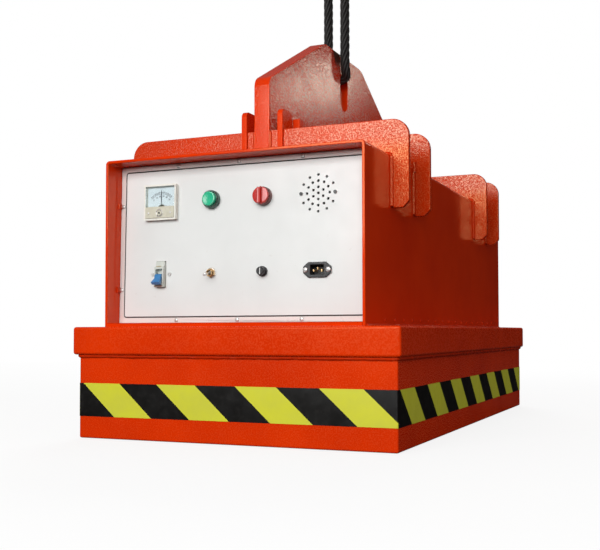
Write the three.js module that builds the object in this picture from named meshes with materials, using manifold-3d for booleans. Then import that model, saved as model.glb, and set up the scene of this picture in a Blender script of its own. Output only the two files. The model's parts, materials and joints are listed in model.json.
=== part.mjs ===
// Self-contained lifting magnet: a rectangular pot magnet with its own battery and control case,
// hung from a central lug by a black sling.
// Millimetres, +Z up. The origin is the middle of the pole face that rests on the load,
// the control panel faces -Y and the long side runs along Y.

import * as THREE from 'three';
import { mergeVertices } from 'three/addons/utils/BufferGeometryUtils.js';
import Module from 'manifold-3d';

const wasm = await Module();
wasm.setup();

// ---------- driving dimensions ----------

const GAP = 0.3; // clearance kept between pieces inside the tilted panel and round cut-outs
const ROUND = 24; // sides of an ordinary round piece

const YOKE = { width: 600, depth: 1000, bottom: 145, top: 193 };
const POLE = { width: 584, depth: 980, wall: 40 };
const CORE = { width: 190, depth: 580 };
const COIL = { wall: 130, bottom: 24, top: 124, clear: 6 };
const BASE_COVER = { bottom: 3, top: 15, gap: 0.5 };
const TAPE = { bottom: 38, top: 95.5, thickness: 0.5, lift: 0.05 };
const LEAD_HOLE = { x: 0, y: 398, radius: 14 };

const CASE = { half: 240, front: -490, back: 497, top: 481.5, sheet: 5, bend: 7, floor: 6 };
const REAR_COVER = { thickness: 3, inset: 14, frame: 4 };

const PANEL = { width: 469, height: 276, border: 9, thickness: 3, bottomY: -455.2, topY: -448.6 };
const GASKET = 1.6;
const COLUMN = [-149.5, -50.5, 47, 145.3]; // device columns on the panel
const ROW = { upper: 71, lower: -54 };

const SADDLE = { half: 271, top: 540.5, legBottom: 390.5, thickness: 10, corner: 30, chamfer: 11, inner: 8 };
const SADDLE_Y = [-356, -230, 230, 356];

const LUG = { half: 15, end: 364, shoulder: 633, top: 771, flat: 106 };
const SLOT = { half: 21, bottom: 655, top: 735 };
const EAR = { inner: 30, outer: 40.5, depth: 42, top: 578, corner: 11 };
const LAP = 511; // height where the lug and ears interlock with the saddles
const POST = { x0: 41, x1: 55, front: -322, back: -303, top: 566 };

const BREAKER_ANGLE = 48; // the toggles point this far below the panel normal when off
const TOGGLE_ANGLE = 12;

const ROPE = { radius: 9, side: 26.5, front: -14, rear: 10, top: 1000 };

const BATTERY = { width: 330, depth: 172, height: 214, pitch: 222, count: 3, firstY: -185, post: 135 };

// ---------- materials ----------

function finish(color, roughness, metalness) {
  return new THREE.MeshStandardMaterial({ color, roughness, metalness });
}

const redPaint = () => finish(0xd83a0c, 0.32, 0.0);
const steel = () => finish(0x9a9c9e, 0.35, 0.9);
const zinc = () => finish(0xc9ccd0, 0.3, 0.9);
const brass = () => finish(0xb98b46, 0.3, 0.9);
const copper = () => finish(0xb0643a, 0.35, 0.9);
const panelPaint = () => finish(0xe6e6e1, 0.45, 0.0);
const blackPlastic = () => finish(0x161616, 0.45, 0.0);
const rubber = () => finish(0x1a1817, 0.75, 0.0);

// ---------- scene graph helpers ----------

const group = new THREE.Group();

function add(name, geometry, material, parent = group) {
  const mesh = new THREE.Mesh(geometry, material);
  mesh.name = name;
  parent.add(mesh);
  return mesh;
}

// ---------- solid helpers ----------

function toSolid(geometry) {
  const bare = geometry.clone();
  bare.deleteAttribute('normal');
  bare.deleteAttribute('uv');
  const merged = mergeVertices(bare, 1e-4);
  return new wasm.Manifold(new wasm.Mesh({
    numProp: 3,
    vertProperties: new Float32Array(merged.attributes.position.array),
    triVerts: new Uint32Array(merged.index.array),
  }));
}

function toGeometry(solid) {
  const mesh = solid.getMesh();
  const geometry = new THREE.BufferGeometry();
  geometry.setAttribute('position', new THREE.BufferAttribute(mesh.vertProperties, 3));
  geometry.setIndex(new THREE.BufferAttribute(mesh.triVerts, 1));
  geometry.computeVertexNormals();
  return geometry;
}

function join(...geometries) {
  let solid = toSolid(geometries[0]);
  for (const geometry of geometries.slice(1)) solid = solid.add(toSolid(geometry));
  return toGeometry(solid);
}

function cut(body, ...tools) {
  let solid = toSolid(body);
  for (const tool of tools) solid = solid.subtract(toSolid(tool));
  return toGeometry(solid);
}

// ---------- shape helpers ----------

// Box given by its lowest and highest corners.
function block(x0, y0, z0, x1, y1, z1) {
  const geometry = new THREE.BoxGeometry(x1 - x0, y1 - y0, z1 - z0);
  geometry.translate((x0 + x1) / 2, (y0 + y1) / 2, (z0 + z1) / 2);
  return geometry;
}

// Rectangle centred on (x, y), with round corners when radius > 0.
function rectangle(width, height, radius = 0, x = 0, y = 0, Kind = THREE.Shape) {
  const outline = new Kind();
  const w = width / 2;
  const h = height / 2;
  if (radius === 0) {
    outline.moveTo(x - w, y - h).lineTo(x + w, y - h).lineTo(x + w, y + h).lineTo(x - w, y + h);
    return outline;
  }
  outline.absarc(x + w - radius, y - h + radius, radius, -Math.PI / 2, 0);
  outline.absarc(x + w - radius, y + h - radius, radius, 0, Math.PI / 2);
  outline.absarc(x - w + radius, y + h - radius, radius, Math.PI / 2, Math.PI);
  outline.absarc(x - w + radius, y - h + radius, radius, Math.PI, Math.PI * 1.5);
  return outline;
}

function circle(radius, x = 0, y = 0, Kind = THREE.Path) {
  const outline = new Kind();
  outline.absarc(x, y, radius, 0, Math.PI * 2);
  return outline;
}

// Adds a round hole to a shape; it gets 2 * segments sides.
function drill(shape, radius, x, y, segments = 4) {
  const hole = circle(radius, x, y);
  hole.segments = segments;
  shape.holes.push(hole);
}

function polygon(points) {
  return new THREE.Shape(points.map(([x, y]) => new THREE.Vector2(x, y)));
}

function prism(curves, z0, z1, curveSegments) {
  const outline = new THREE.Shape();
  outline.curves = curves;
  const geometry = new THREE.ExtrudeGeometry(outline, { depth: z1 - z0, bevelEnabled: false, curveSegments });
  geometry.translate(0, 0, z0);
  return geometry;
}

// Flat plate lying in XY from z0 to z1, with the shape's holes cut through it.
function slab(shape, z0, z1, curveSegments = 6) {
  const body = prism(shape.curves, z0, z1, curveSegments);
  const punches = shape.holes.map((hole) =>
    prism(hole.curves, z0 - 1, z1 + 1, hole.segments ?? curveSegments));
  return punches.length === 0 ? body : cut(body, ...punches);
}

// Upright plate whose outline is drawn in (x, z); it spans y0 to y1.
function wallXZ(shape, y0, y1, curveSegments = 6) {
  const geometry = slab(shape, -y1, -y0, curveSegments);
  geometry.rotateX(Math.PI / 2);
  return geometry;
}

// Upright plate whose outline is drawn in (y, z); it spans x0 to x1.
function wallYZ(shape, x0, x1, curveSegments = 6) {
  const geometry = slab(shape, x0, x1, curveSegments);
  const basis = new THREE.Matrix4().makeBasis(
    new THREE.Vector3(0, 1, 0), new THREE.Vector3(0, 0, 1), new THREE.Vector3(1, 0, 0));
  geometry.applyMatrix4(basis);
  return geometry;
}

// Turned piece on the Y axis through (x, z). The profile lists [radius, y]; it starts and ends on
// the axis, or closes on itself.
function turnedY(profile, x, z, sides = ROUND) {
  const points = profile.map(([radius, y]) => new THREE.Vector2(radius, y));
  if (points[0].x > 0) points.push(points[0].clone());
  const geometry = new THREE.LatheGeometry(points, sides);
  geometry.translate(x, 0, z);
  return geometry;
}

// Round bar along Y from y0 to y1.
function barY(radius, y0, y1, x, z, sides = ROUND) {
  const geometry = new THREE.CylinderGeometry(radius, radius, y1 - y0, sides);
  geometry.translate(x, (y0 + y1) / 2, z);
  return geometry;
}

// Round bar along Z from z0 to z1.
function barZ(radius, z0, z1, x, y, sides = ROUND) {
  const geometry = new THREE.CylinderGeometry(radius, radius, z1 - z0, sides);
  geometry.rotateX(Math.PI / 2);
  geometry.translate(x, y, (z0 + z1) / 2);
  return geometry;
}

// Round bar along X from x0 to x1.
function barX(radius, x0, x1, y, z, sides = ROUND) {
  const geometry = new THREE.CylinderGeometry(radius, radius, x1 - x0, sides);
  geometry.rotateZ(Math.PI / 2);
  geometry.translate((x0 + x1) / 2, y, z);
  return geometry;
}

// Round rope or cable along a curve.
function cable(curve, radius, steps, sides = 12) {
  return new THREE.ExtrudeGeometry(circle(radius, 0, 0, THREE.Shape), {
    steps, extrudePath: curve, curveSegments: sides, bevelEnabled: false,
  });
}

function throughPoints(points, closed = false) {
  const nodes = points.map(([x, y, z]) => new THREE.Vector3(x, y, z));
  return new THREE.CatmullRomCurve3(nodes, closed, 'centripetal');
}

// ---------- magnet base ----------

function buildMagnet() {
  const inner = { width: POLE.width - 2 * POLE.wall, depth: POLE.depth - 2 * POLE.wall };

  const ring = rectangle(POLE.width, POLE.depth);
  ring.holes.push(rectangle(inner.width, inner.depth, 0, 0, 0, THREE.Path));
  add('outer_pole', slab(ring, 0, YOKE.bottom), redPaint());

  const yoke = rectangle(YOKE.width, YOKE.depth);
  yoke.holes.push(circle(LEAD_HOLE.radius, LEAD_HOLE.x, LEAD_HOLE.y));
  add('top_yoke', slab(yoke, YOKE.bottom, YOKE.top), redPaint());

  add('centre_pole', slab(rectangle(CORE.width, CORE.depth), 0, YOKE.bottom), steel());

  const coilIn = { width: CORE.width + 2 * COIL.clear, depth: CORE.depth + 2 * COIL.clear };
  const coil = rectangle(coilIn.width + 2 * COIL.wall, coilIn.depth + 2 * COIL.wall, 40);
  coil.holes.push(rectangle(coilIn.width, coilIn.depth, 0, 0, 0, THREE.Path));
  add('excitation_coil', slab(coil, COIL.bottom, COIL.top), copper());

  const cover = rectangle(inner.width - 2 * BASE_COVER.gap, inner.depth - 2 * BASE_COVER.gap);
  const coverHole = { width: CORE.width + 2 * BASE_COVER.gap, depth: CORE.depth + 2 * BASE_COVER.gap };
  cover.holes.push(rectangle(coverHole.width, coverHole.depth, 0, 0, 0, THREE.Path));
  add('base_cover', slab(cover, BASE_COVER.bottom, BASE_COVER.top), steel());

  const tapeIn = { width: POLE.width + 2 * TAPE.lift, depth: POLE.depth + 2 * TAPE.lift };
  const tape = rectangle(tapeIn.width + 2 * TAPE.thickness, tapeIn.depth + 2 * TAPE.thickness);
  tape.holes.push(rectangle(tapeIn.width, tapeIn.depth, 0, 0, 0, THREE.Path));
  add('hazard_tape', slab(tape, TAPE.bottom, TAPE.top), finish(0xd8d83a, 0.4, 0));
}

// ---------- case ----------

const rearFace = CASE.back - REAR_COVER.inset; // outer face of the rear cover
const rearFrameFront = rearFace - REAR_COVER.thickness - REAR_COVER.frame;

function caseOutline(inset, bend) {
  const half = CASE.half - inset;
  const top = CASE.top - inset;
  const outline = new THREE.Path();
  outline.moveTo(half, YOKE.top);
  outline.lineTo(half, top - bend);
  outline.absarc(half - bend, top - bend, bend, 0, Math.PI / 2);
  outline.absarc(-half + bend, top - bend, bend, Math.PI / 2, Math.PI);
  outline.lineTo(-half, YOKE.top);
  return outline.getPoints(4);
}

function buildCase() {
  const outside = caseOutline(0, CASE.bend);
  const inside = caseOutline(CASE.sheet, CASE.bend - CASE.sheet);
  const section = new THREE.Shape([...outside, ...inside.reverse()]);
  add('case_shell', wallXZ(section, CASE.front, CASE.back), redPaint());

  const floorHalf = CASE.half - CASE.sheet - GAP;
  const floorBack = rearFrameFront - GAP;
  const floor = block(-floorHalf, CASE.front, YOKE.top, floorHalf, floorBack, YOKE.top + CASE.floor);
  const leadHole = barZ(LEAD_HOLE.radius, YOKE.top - 1, YOKE.top + CASE.floor + 1, LEAD_HOLE.x, LEAD_HOLE.y);
  add('case_floor', cut(floor, leadHole), redPaint());
}

const rearHalf = CASE.half - CASE.sheet - 1;
const rearBottom = YOKE.top + 1;
const rearTop = CASE.top - CASE.sheet - 1;

function rearScrewPlaces() {
  const places = [];
  const low = rearBottom + 9;
  const high = rearTop - 9;
  for (const x of [-156, -52, 52, 156]) places.push([x, low], [x, high]);
  for (const side of [-1, 1]) {
    for (const z of [low + 62, (low + high) / 2, high - 62]) places.push([side * (rearHalf - 9), z]);
  }
  return places;
}

function buildRear() {
  const middle = (rearBottom + rearTop) / 2;
  const cover = rectangle(2 * rearHalf, rearTop - rearBottom, 4, 0, middle);
  for (const [x, z] of rearScrewPlaces()) drill(cover, 2.8, x, z);
  const louvre = { width: 90, height: 5, pitch: 16, rows: 6 };
  for (const x of [-110, 110]) {
    for (let row = 0; row < louvre.rows; row++) {
      const z = middle + (row - (louvre.rows - 1) / 2) * louvre.pitch;
      cover.holes.push(rectangle(louvre.width, louvre.height, 0, x, z, THREE.Path));
    }
  }
  add('rear_cover', wallXZ(cover, rearFace - REAR_COVER.thickness, rearFace, 3), redPaint());

  // The angle frame behind the cover carries the welded nuts; its screws pass through the cover.
  const leg = 22;
  const opening = { width: 2 * (rearHalf - leg), height: rearTop - rearBottom - 2 * leg };
  const frame = rectangle(2 * rearHalf, rearTop - rearBottom, 0, 0, middle);
  frame.holes.push(rectangle(opening.width, opening.height, 0, 0, middle, THREE.Path));
  const pieces = [wallXZ(frame, rearFrameFront, rearFace - REAR_COVER.thickness - GAP)];
  for (const [x, z] of rearScrewPlaces()) {
    pieces.push(barY(2.3, rearFrameFront + 1, rearFace + 1, x, z, 8));
    pieces.push(barY(4.5, rearFace + GAP, rearFace + 2.8, x, z, 12));
  }
  add('rear_frame_and_screws', join(...pieces), zinc());
}

// ---------- control panel ----------

// The panel group leans back: local x is along the panel, z up along it, and -y out of it.
const panelBottom = YOKE.top + CASE.floor + 0.8;
const panelRise = PANEL.topY - PANEL.bottomY;
const panelTilt = Math.asin(panelRise / PANEL.height);
const panelCentreZ = panelBottom + (PANEL.height / 2) * Math.cos(panelTilt);
const panelGroup = new THREE.Group();
panelGroup.position.set(0, (PANEL.topY + PANEL.bottomY) / 2, panelCentreZ);
panelGroup.rotation.x = -panelTilt;
group.add(panelGroup);

const FACE = 0; // panel face in the panel group
const BACK = PANEL.thickness;

function panelScrewPlaces() {
  const places = [];
  const edge = PANEL.border / 2;
  for (const x of [-118, 0, 118]) {
    places.push([x, PANEL.height / 2 - edge], [x, -PANEL.height / 2 + edge]);
  }
  for (const side of [-1, 1]) {
    for (const z of [-80, 68]) places.push([side * (PANEL.width / 2 - edge), z]);
  }
  return places;
}

function sounderHoles() {
  const holes = [[0, 0]];
  const rings = [[6, 10], [12, 20], [12, 30]];
  for (const [count, radius] of rings) {
    for (let i = 0; i < count; i++) {
      const angle = Math.PI / 2 + (i / count) * Math.PI * 2;
      if (radius === 30 && i % 6 === 3) continue; // the two fixing screws sit here
      holes.push([radius * Math.cos(angle), radius * Math.sin(angle)]);
    }
  }
  return holes;
}

function buildPanel() {
  const inner = { width: PANEL.width - 2 * PANEL.border, height: PANEL.height - 2 * PANEL.border };
  const frame = rectangle(PANEL.width, PANEL.height);
  frame.holes.push(rectangle(inner.width, inner.height, 5, 0, 0, THREE.Path));
  for (const [x, z] of panelScrewPlaces()) drill(frame, 2.4, x, z);
  add('panel_frame', wallXZ(frame, FACE, BACK, 3), finish(0xc9bdb8, 0.45, 0), panelGroup);

  const gasketOut = { width: inner.width - 2 * GAP, height: inner.height - 2 * GAP };
  const gasketIn = { width: gasketOut.width - 2 * GASKET, height: gasketOut.height - 2 * GASKET };
  const gasket = rectangle(gasketOut.width, gasketOut.height, 4.7);
  gasket.holes.push(rectangle(gasketIn.width, gasketIn.height, 3.4, 0, 0, THREE.Path));
  add('panel_gasket', wallXZ(gasket, FACE + 0.2, BACK, 3), rubber(), panelGroup);

  const plate = rectangle(gasketIn.width - 2 * GAP, gasketIn.height - 2 * GAP, 3);
  drill(plate, 27, COLUMN[0], ROW.upper, 12);
  drill(plate, 11.8, COLUMN[1], ROW.upper, 10);
  drill(plate, 11.8, COLUMN[2], ROW.upper, 10);
  for (const [x, z] of sounderHoles()) drill(plate, 2.4, COLUMN[3] + x, ROW.upper + z);
  plate.holes.push(rectangle(19.4, 46.4, 0, COLUMN[0], ROW.lower, THREE.Path));
  drill(plate, 6.6, COLUMN[1], ROW.lower, 10);
  drill(plate, 7, COLUMN[2], ROW.lower, 10);
  plate.holes.push(rectangle(28.6, 20.6, 0, COLUMN[3], ROW.lower, THREE.Path));
  for (const side of [-1, 1]) {
    drill(plate, 2.2, COLUMN[0] + side * 17, ROW.lower);
    drill(plate, 2.2, COLUMN[3] + side * 20, ROW.lower);
    drill(plate, 2.2, COLUMN[3] + side * 30, ROW.upper);
  }
  add('control_panel', wallXZ(plate, FACE, BACK, 4), panelPaint(), panelGroup);

  // The welded angle behind the frame holds the nuts of the panel screws.
  const strip = rectangle(PANEL.width, PANEL.height);
  const wide = 19;
  strip.holes.push(rectangle(PANEL.width - 2 * wide, PANEL.height - 2 * wide, 0, 0, 0, THREE.Path));
  const pieces = [wallXZ(strip, BACK + GAP, BACK + 4)];
  for (const [x, z] of panelScrewPlaces()) {
    pieces.push(barY(1.9, FACE - 1, BACK + 2, x, z, 8));
    pieces.push(barY(3.7, FACE - 2.4, FACE - GAP, x, z, 12));
  }
  add('panel_seat_and_screws', join(...pieces), zinc(), panelGroup);
}

// ---------- panel devices ----------

// Ammeter: square bezel, round case behind the panel, moving needle under a clear front.
function buildMeter() {
  const x = COLUMN[0];
  const z = ROW.upper;
  const width = 64;
  const height = 62;
  const depth = 9; // bezel height above the panel face
  const wall = 3;
  const pivotZ = z - 11;
  const adjusterZ = z - 19;

  const bezel = rectangle(width, height, 2, x, z);
  bezel.holes.push(rectangle(width - 2 * wall, height - 2 * wall, 0, x, z, THREE.Path));
  const backPlate = wallXZ(rectangle(width - 2, height - 2, 2, x, z), FACE - 2, FACE - GAP);
  const can = barY(25.5, FACE - 1, BACK + 30, x, z, 32);
  const body = join(wallXZ(bezel, FACE - depth, FACE - GAP), backPlate, can);
  // The pocket takes the pivot of the movement.
  const pocket = barY(8, FACE - 5, FACE + 6, x, pivotZ, 20);
  add('meter_case', cut(body, pocket), finish(0xd6d4c2, 0.4, 0), panelGroup);

  const dial = wallXZ(rectangle(width - 2 * wall - 2, 38, 0, x, z + 8), FACE - 3, FACE - 2 - GAP);
  const dialNotch = barY(8, FACE - 4, FACE, x, pivotZ, 20);
  add('meter_dial', cut(dial, dialNotch), finish(0xdfe6ea, 0.6, 0), panelGroup);

  // Needle pointing straight up at mid scale, turning about the hub.
  const needle = polygon([[x - 1.1, z - 16], [x + 1.1, z - 16], [x + 0.35, z + 22], [x - 0.35, z + 22]]);
  const hub = barY(4.5, FACE - 4.8, FACE + 4, x, pivotZ, 16);
  add('meter_needle', join(wallXZ(needle, FACE - 4.6, FACE - 3.6), hub), blackPlastic(), panelGroup);

  const clear = { width: width - 2 * (wall + GAP), height: height - 2 * (wall + GAP) };
  const pane = rectangle(clear.width, clear.height, 0, x, z);
  const coverFront = wallXZ(pane, FACE - depth - 1, FACE - depth + 1.4);
  const skirt = wallXZ(rectangle(clear.width, 20, 0, x, z - 18 + GAP), FACE - depth + 1, FACE - 5.6);
  const adjusterHole = barY(5.3, FACE - depth - 2, FACE - 5, x, adjusterZ, 16);
  add('meter_window', cut(join(coverFront, skirt), adjusterHole), finish(0xcfcbb0, 0.15, 0), panelGroup);

  const slot = block(x - 4, FACE - depth - 3, adjusterZ - 0.5, x + 4, FACE - depth - 1.2, adjusterZ + 0.5);
  const adjuster = barY(5, FACE - depth - 2, FACE - 6, x, adjusterZ, 16);
  add('meter_zero_screw', cut(adjuster, slot), blackPlastic(), panelGroup);
}

function pushButtonBezel(x, z) {
  return turnedY([
    [12.7, FACE - 10], [14.6, FACE - 10], [15.6, FACE - 8.5], [15.6, FACE - GAP],
    [11.2, FACE - GAP], [11.2, BACK + 28], [9.4, BACK + 28], [9.4, FACE - 2], [12.7, FACE - 2],
  ], x, z);
}

function buildButtons() {
  const greenX = COLUMN[1];
  const redX = COLUMN[2];
  const z = ROW.upper;

  add('start_button_bezel', pushButtonBezel(greenX, z), finish(0x2c4a3c, 0.35, 0.3), panelGroup);
  const cap = turnedY([
    [0, FACE - 15], [11.2, FACE - 15], [12.3, FACE - 13.8], [12.3, FACE - 7],
    [9, FACE - 6.8], [9, BACK + 20], [0, BACK + 20],
  ], greenX, z);
  add('start_button', cap, finish(0x35b985, 0.3, 0), panelGroup);

  add('selector_bezel', pushButtonBezel(redX, z), finish(0x8a5a58, 0.35, 0.3), panelGroup);
  const skirt = turnedY([
    [0, FACE - 15], [13.6, FACE - 15], [14.6, FACE - 14], [14.6, FACE - 10.4], [12.2, FACE - 10.4],
    [12.2, FACE - 3], [9, FACE - 3], [9, BACK + 20], [0, BACK + 20],
  ], redX, z);
  const grip = polygon([
    [redX - 3.6, FACE - 14], [redX + 3.6, FACE - 14], [redX + 2.8, FACE - 20], [redX - 2.8, FACE - 20],
  ]);
  const gripBar = slab(grip, z - 13, z + 13);
  add('selector_knob', join(skirt, gripBar), finish(0xc9281c, 0.3, 0), panelGroup);
}

function buildSounder() {
  const x = COLUMN[3];
  const z = ROW.upper;
  const body = turnedY([[0, BACK + GAP + 4], [26, BACK + GAP + 4], [26, BACK + GAP], [34.5, BACK + GAP],
    [34.5, BACK + 4], [29, BACK + 5], [29, BACK + 26], [0, BACK + 26]], x, z, 28);
  const pieces = [body];
  for (const side of [-1, 1]) {
    pieces.push(barY(1.6, FACE - 1, BACK + 2, x + side * 30, z, 8));
    pieces.push(barY(3, FACE - 2.2, FACE - GAP, x + side * 30, z, 12));
  }
  add('sounder', join(...pieces), blackPlastic(), panelGroup);
}

// Miniature circuit breaker, put through a window in the panel and held by a clamp behind it.
function buildBreaker() {
  const x = COLUMN[0];
  const z = ROW.lower;
  const width = 18;
  const nose = FACE - 9; // front face of the breaker nose
  const side = polygon([
    [nose, z - 22.5], [nose, z + 12], [nose + 5, z + 14], [nose + 5, z + 22.5],
    [BACK + 52, z + 22.5], [BACK + 52, z - 22.5],
  ]);
  const shell = wallYZ(side, x - width / 2, x + width / 2);
  const well = block(x - 6.5, nose - 2, z - 15.5, x + 6.5, nose + 9, z + 8.5);
  add('breaker_case', cut(shell, well), finish(0xd2d6cf, 0.45, 0), panelGroup);

  // The toggle swings about an axis along x; it is drawn switched off, pointing down.
  const pivot = { y: nose + 2.2, z: z - 5 };
  const drum = barX(5.4, x - 6.2, x + 6.2, pivot.y, pivot.z, 20);
  const paddle = slab(polygon([[-5.2, -2], [-8.6, -16], [8.6, -16], [5.2, -2]]), -2.8, 2.8);
  paddle.rotateX(THREE.MathUtils.degToRad(BREAKER_ANGLE));
  paddle.translate(x, pivot.y, pivot.z);
  add('breaker_toggle', join(drum, paddle), finish(0x2f74b8, 0.35, 0), panelGroup);

  const clampBar = wallXZ(rectangle(44, 6, 0, x, z), BACK + GAP, BACK + 2.4);
  const clampGap = block(x - width / 2 - GAP, BACK - 1, z - 4, x + width / 2 + GAP, BACK + 4, z + 4);
  const bridge = block(x - 20, BACK + 1, z - 3, x - 17, BACK + 56, z + 3);
  const bridgeRight = block(x + 17, BACK + 1, z - 3, x + 20, BACK + 56, z + 3);
  const yokeBar = block(x - 20, BACK + 53, z - 3, x + 20, BACK + 56, z + 3);
  const pieces = [cut(clampBar, clampGap), bridge, yokeBar, bridgeRight];
  for (const s of [-1, 1]) {
    pieces.push(barY(1.6, FACE - 1, BACK + 2, x + s * 17, z, 8));
    pieces.push(barY(3.1, FACE - 2.2, FACE - GAP, x + s * 17, z, 12));
  }
  add('breaker_clamp', join(...pieces), zinc(), panelGroup);
}

function buildToggleSwitch() {
  const x = COLUMN[1];
  const z = ROW.lower;
  const body = block(x - 6.5, BACK + 1.2, z - 10, x + 6.5, BACK + 20, z + 10);
  const bush = barY(5.9, FACE - 8, BACK + 6, x, z, 20);
  const bore = barY(4.2, FACE - 9, BACK + 1, x, z, 16);
  add('toggle_switch_body', cut(join(body, bush), bore), brass(), panelGroup);

  const nut = cut(barY(8.1, FACE - 4, FACE - GAP, x, z, 6), barY(5.9 + GAP, FACE - 6, FACE + 1, x, z, 20));
  add('toggle_switch_nut', nut, brass(), panelGroup);

  // Lever pivoting in the bush, pointing down.
  const ball = new THREE.SphereGeometry(3.4, 14, 10);
  const rod = new THREE.CylinderGeometry(1.7, 2.9, 22, 14);
  rod.translate(0, -11, 0);
  const lever = join(ball, rod);
  lever.rotateX(THREE.MathUtils.degToRad(TOGGLE_ANGLE));
  lever.translate(x, FACE - 3.5, z);
  add('toggle_switch_lever', lever, zinc(), panelGroup);
}

function buildFuse() {
  const x = COLUMN[2];
  const z = ROW.lower;
  const holder = turnedY([
    [0, BACK + 31], [4.6, BACK + 31], [4.6, FACE - 5], [8.6, FACE - 5], [8.6, FACE - GAP],
    [6.3, FACE - GAP], [6.3, BACK + 34], [0, BACK + 34],
  ], x, z, 20);
  add('fuse_holder', holder, blackPlastic(), panelGroup);
  const cap = turnedY([
    [0, FACE - 13], [6.4, FACE - 13], [7, FACE - 12], [7, FACE - 5.3], [4.2, FACE - 5.3],
    [4.2, FACE - 1], [0, FACE - 1],
  ], x, z, 20);
  const slot = block(x - 1, FACE - 14, z - 7.5, x + 1, FACE - 11.6, z + 7.5);
  add('fuse_cap', cut(cap, slot), finish(0x2a2a2c, 0.35, 0), panelGroup);
  add('fuse_link', barY(3, FACE - 0.5, BACK + 29, x, z, 12), zinc(), panelGroup);
}

function buildInlet() {
  const x = COLUMN[3];
  const z = ROW.lower;
  const plate = polygon([
    [x - 24.5, z - 5], [x - 15.5, z - 12.5], [x + 15.5, z - 12.5], [x + 24.5, z - 5],
    [x + 24.5, z + 5], [x + 15.5, z + 12.5], [x - 15.5, z + 12.5], [x - 24.5, z + 5],
  ]);
  for (const side of [-1, 1]) drill(plate, 2.2, x + side * 20, z);
  const body = block(x - 14, FACE - 4, z - 10, x + 14, BACK + 24, z + 10);
  const well = block(x - 12, FACE - 6, z - 8, x + 12, BACK + 12, z + 8);
  const shell = cut(join(wallXZ(plate, FACE - 4, FACE - GAP, 4), body), well);
  const pins = [-7, 0, 7].map((dx, i) => block(x + dx - 1, FACE - 0.5, z - 2 + (i === 1 ? 2 : -1),
    x + dx + 1, BACK + 13, z + 2 + (i === 1 ? 2 : -1)));
  add('power_inlet', join(shell, ...pins), blackPlastic(), panelGroup);

  const strap = cut(wallXZ(rectangle(49, 8, 0, x, z), BACK + GAP, BACK + 2),
    block(x - 14 - GAP, BACK - 1, z - 11, x + 14 + GAP, BACK + 3, z + 11));
  const back = block(x - 22, BACK + 25, z - 3, x + 22, BACK + 27, z + 3);
  const pieces = [strap, back];
  for (const side of [-1, 1]) {
    const near = x + side * 20;
    pieces.push(block(near - 2, BACK + 1, z - 3, near + 2, BACK + 27, z + 3));
    pieces.push(barY(1.6, FACE - 5, BACK + 2, near, z, 8));
    pieces.push(barY(3, FACE - 6, FACE - 4 - GAP, near, z, 12));
  }
  add('inlet_clamp_and_screws', join(...pieces), zinc(), panelGroup);
}

// ---------- equipment inside the case ----------

const floorTop = YOKE.top + CASE.floor;
const trayTop = floorTop + 3;

function batteryY(index) {
  return BATTERY.firstY + index * BATTERY.pitch;
}

function buildBatteries() {
  const { width, depth, height, count, post } = BATTERY;
  const front = batteryY(0) - depth / 2;
  const rear = batteryY(count - 1) + depth / 2;
  const tray = block(-width / 2 - 6, front - 6, floorTop, width / 2 + 6, rear + 6, trayTop + 18);
  const well = block(-width / 2 - 3, front - 3, trayTop, width / 2 + 3, rear + 3, trayTop + 30);
  add('battery_tray', cut(tray, well), steel());

  const boxTop = trayTop + height;
  const postBack = 50; // the posts stand this far in front of the middle
  for (let i = 0; i < count; i++) {
    const y = batteryY(i);
    const box = block(-width / 2, y - depth / 2, trayTop + GAP, width / 2, y + depth / 2, boxTop);
    const posts = [-post, post].map((x) => barZ(8, boxTop - 1, boxTop + 12, x, y - postBack, 12));
    add(`battery_${i + 1}`, join(box, ...posts), finish(0x3a3d40, 0.6, 0));
  }

  const low = boxTop + 0.5;
  const foot = floorTop + 0.5;
  add('battery_clamp', join(
    block(-14, front - 12, low, 14, rear + 12, low + 4),
    block(-14, front - 12, foot, 14, front - 8, low + 4),
    block(-14, rear + 8, foot, 14, rear + 12, low + 4),
  ), steel());

  // Link bars from the right post of one battery to the left post of the next.
  const linkZ = boxTop + 12.1;
  for (let i = 0; i + 1 < count; i++) {
    const y0 = batteryY(i) - postBack;
    const y1 = batteryY(i + 1) - postBack;
    const bar = polygon([
      [post - 10, y0 - 9], [post + 10, y0 - 9], [post + 10, y0 + 12],
      [-post + 10, y1 + 9], [-post - 10, y1 + 9], [-post - 10, y1 - 12],
    ]);
    add(`battery_link_${i + 1}`, slab(bar, linkZ, linkZ + 3), copper());
  }
}

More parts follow.
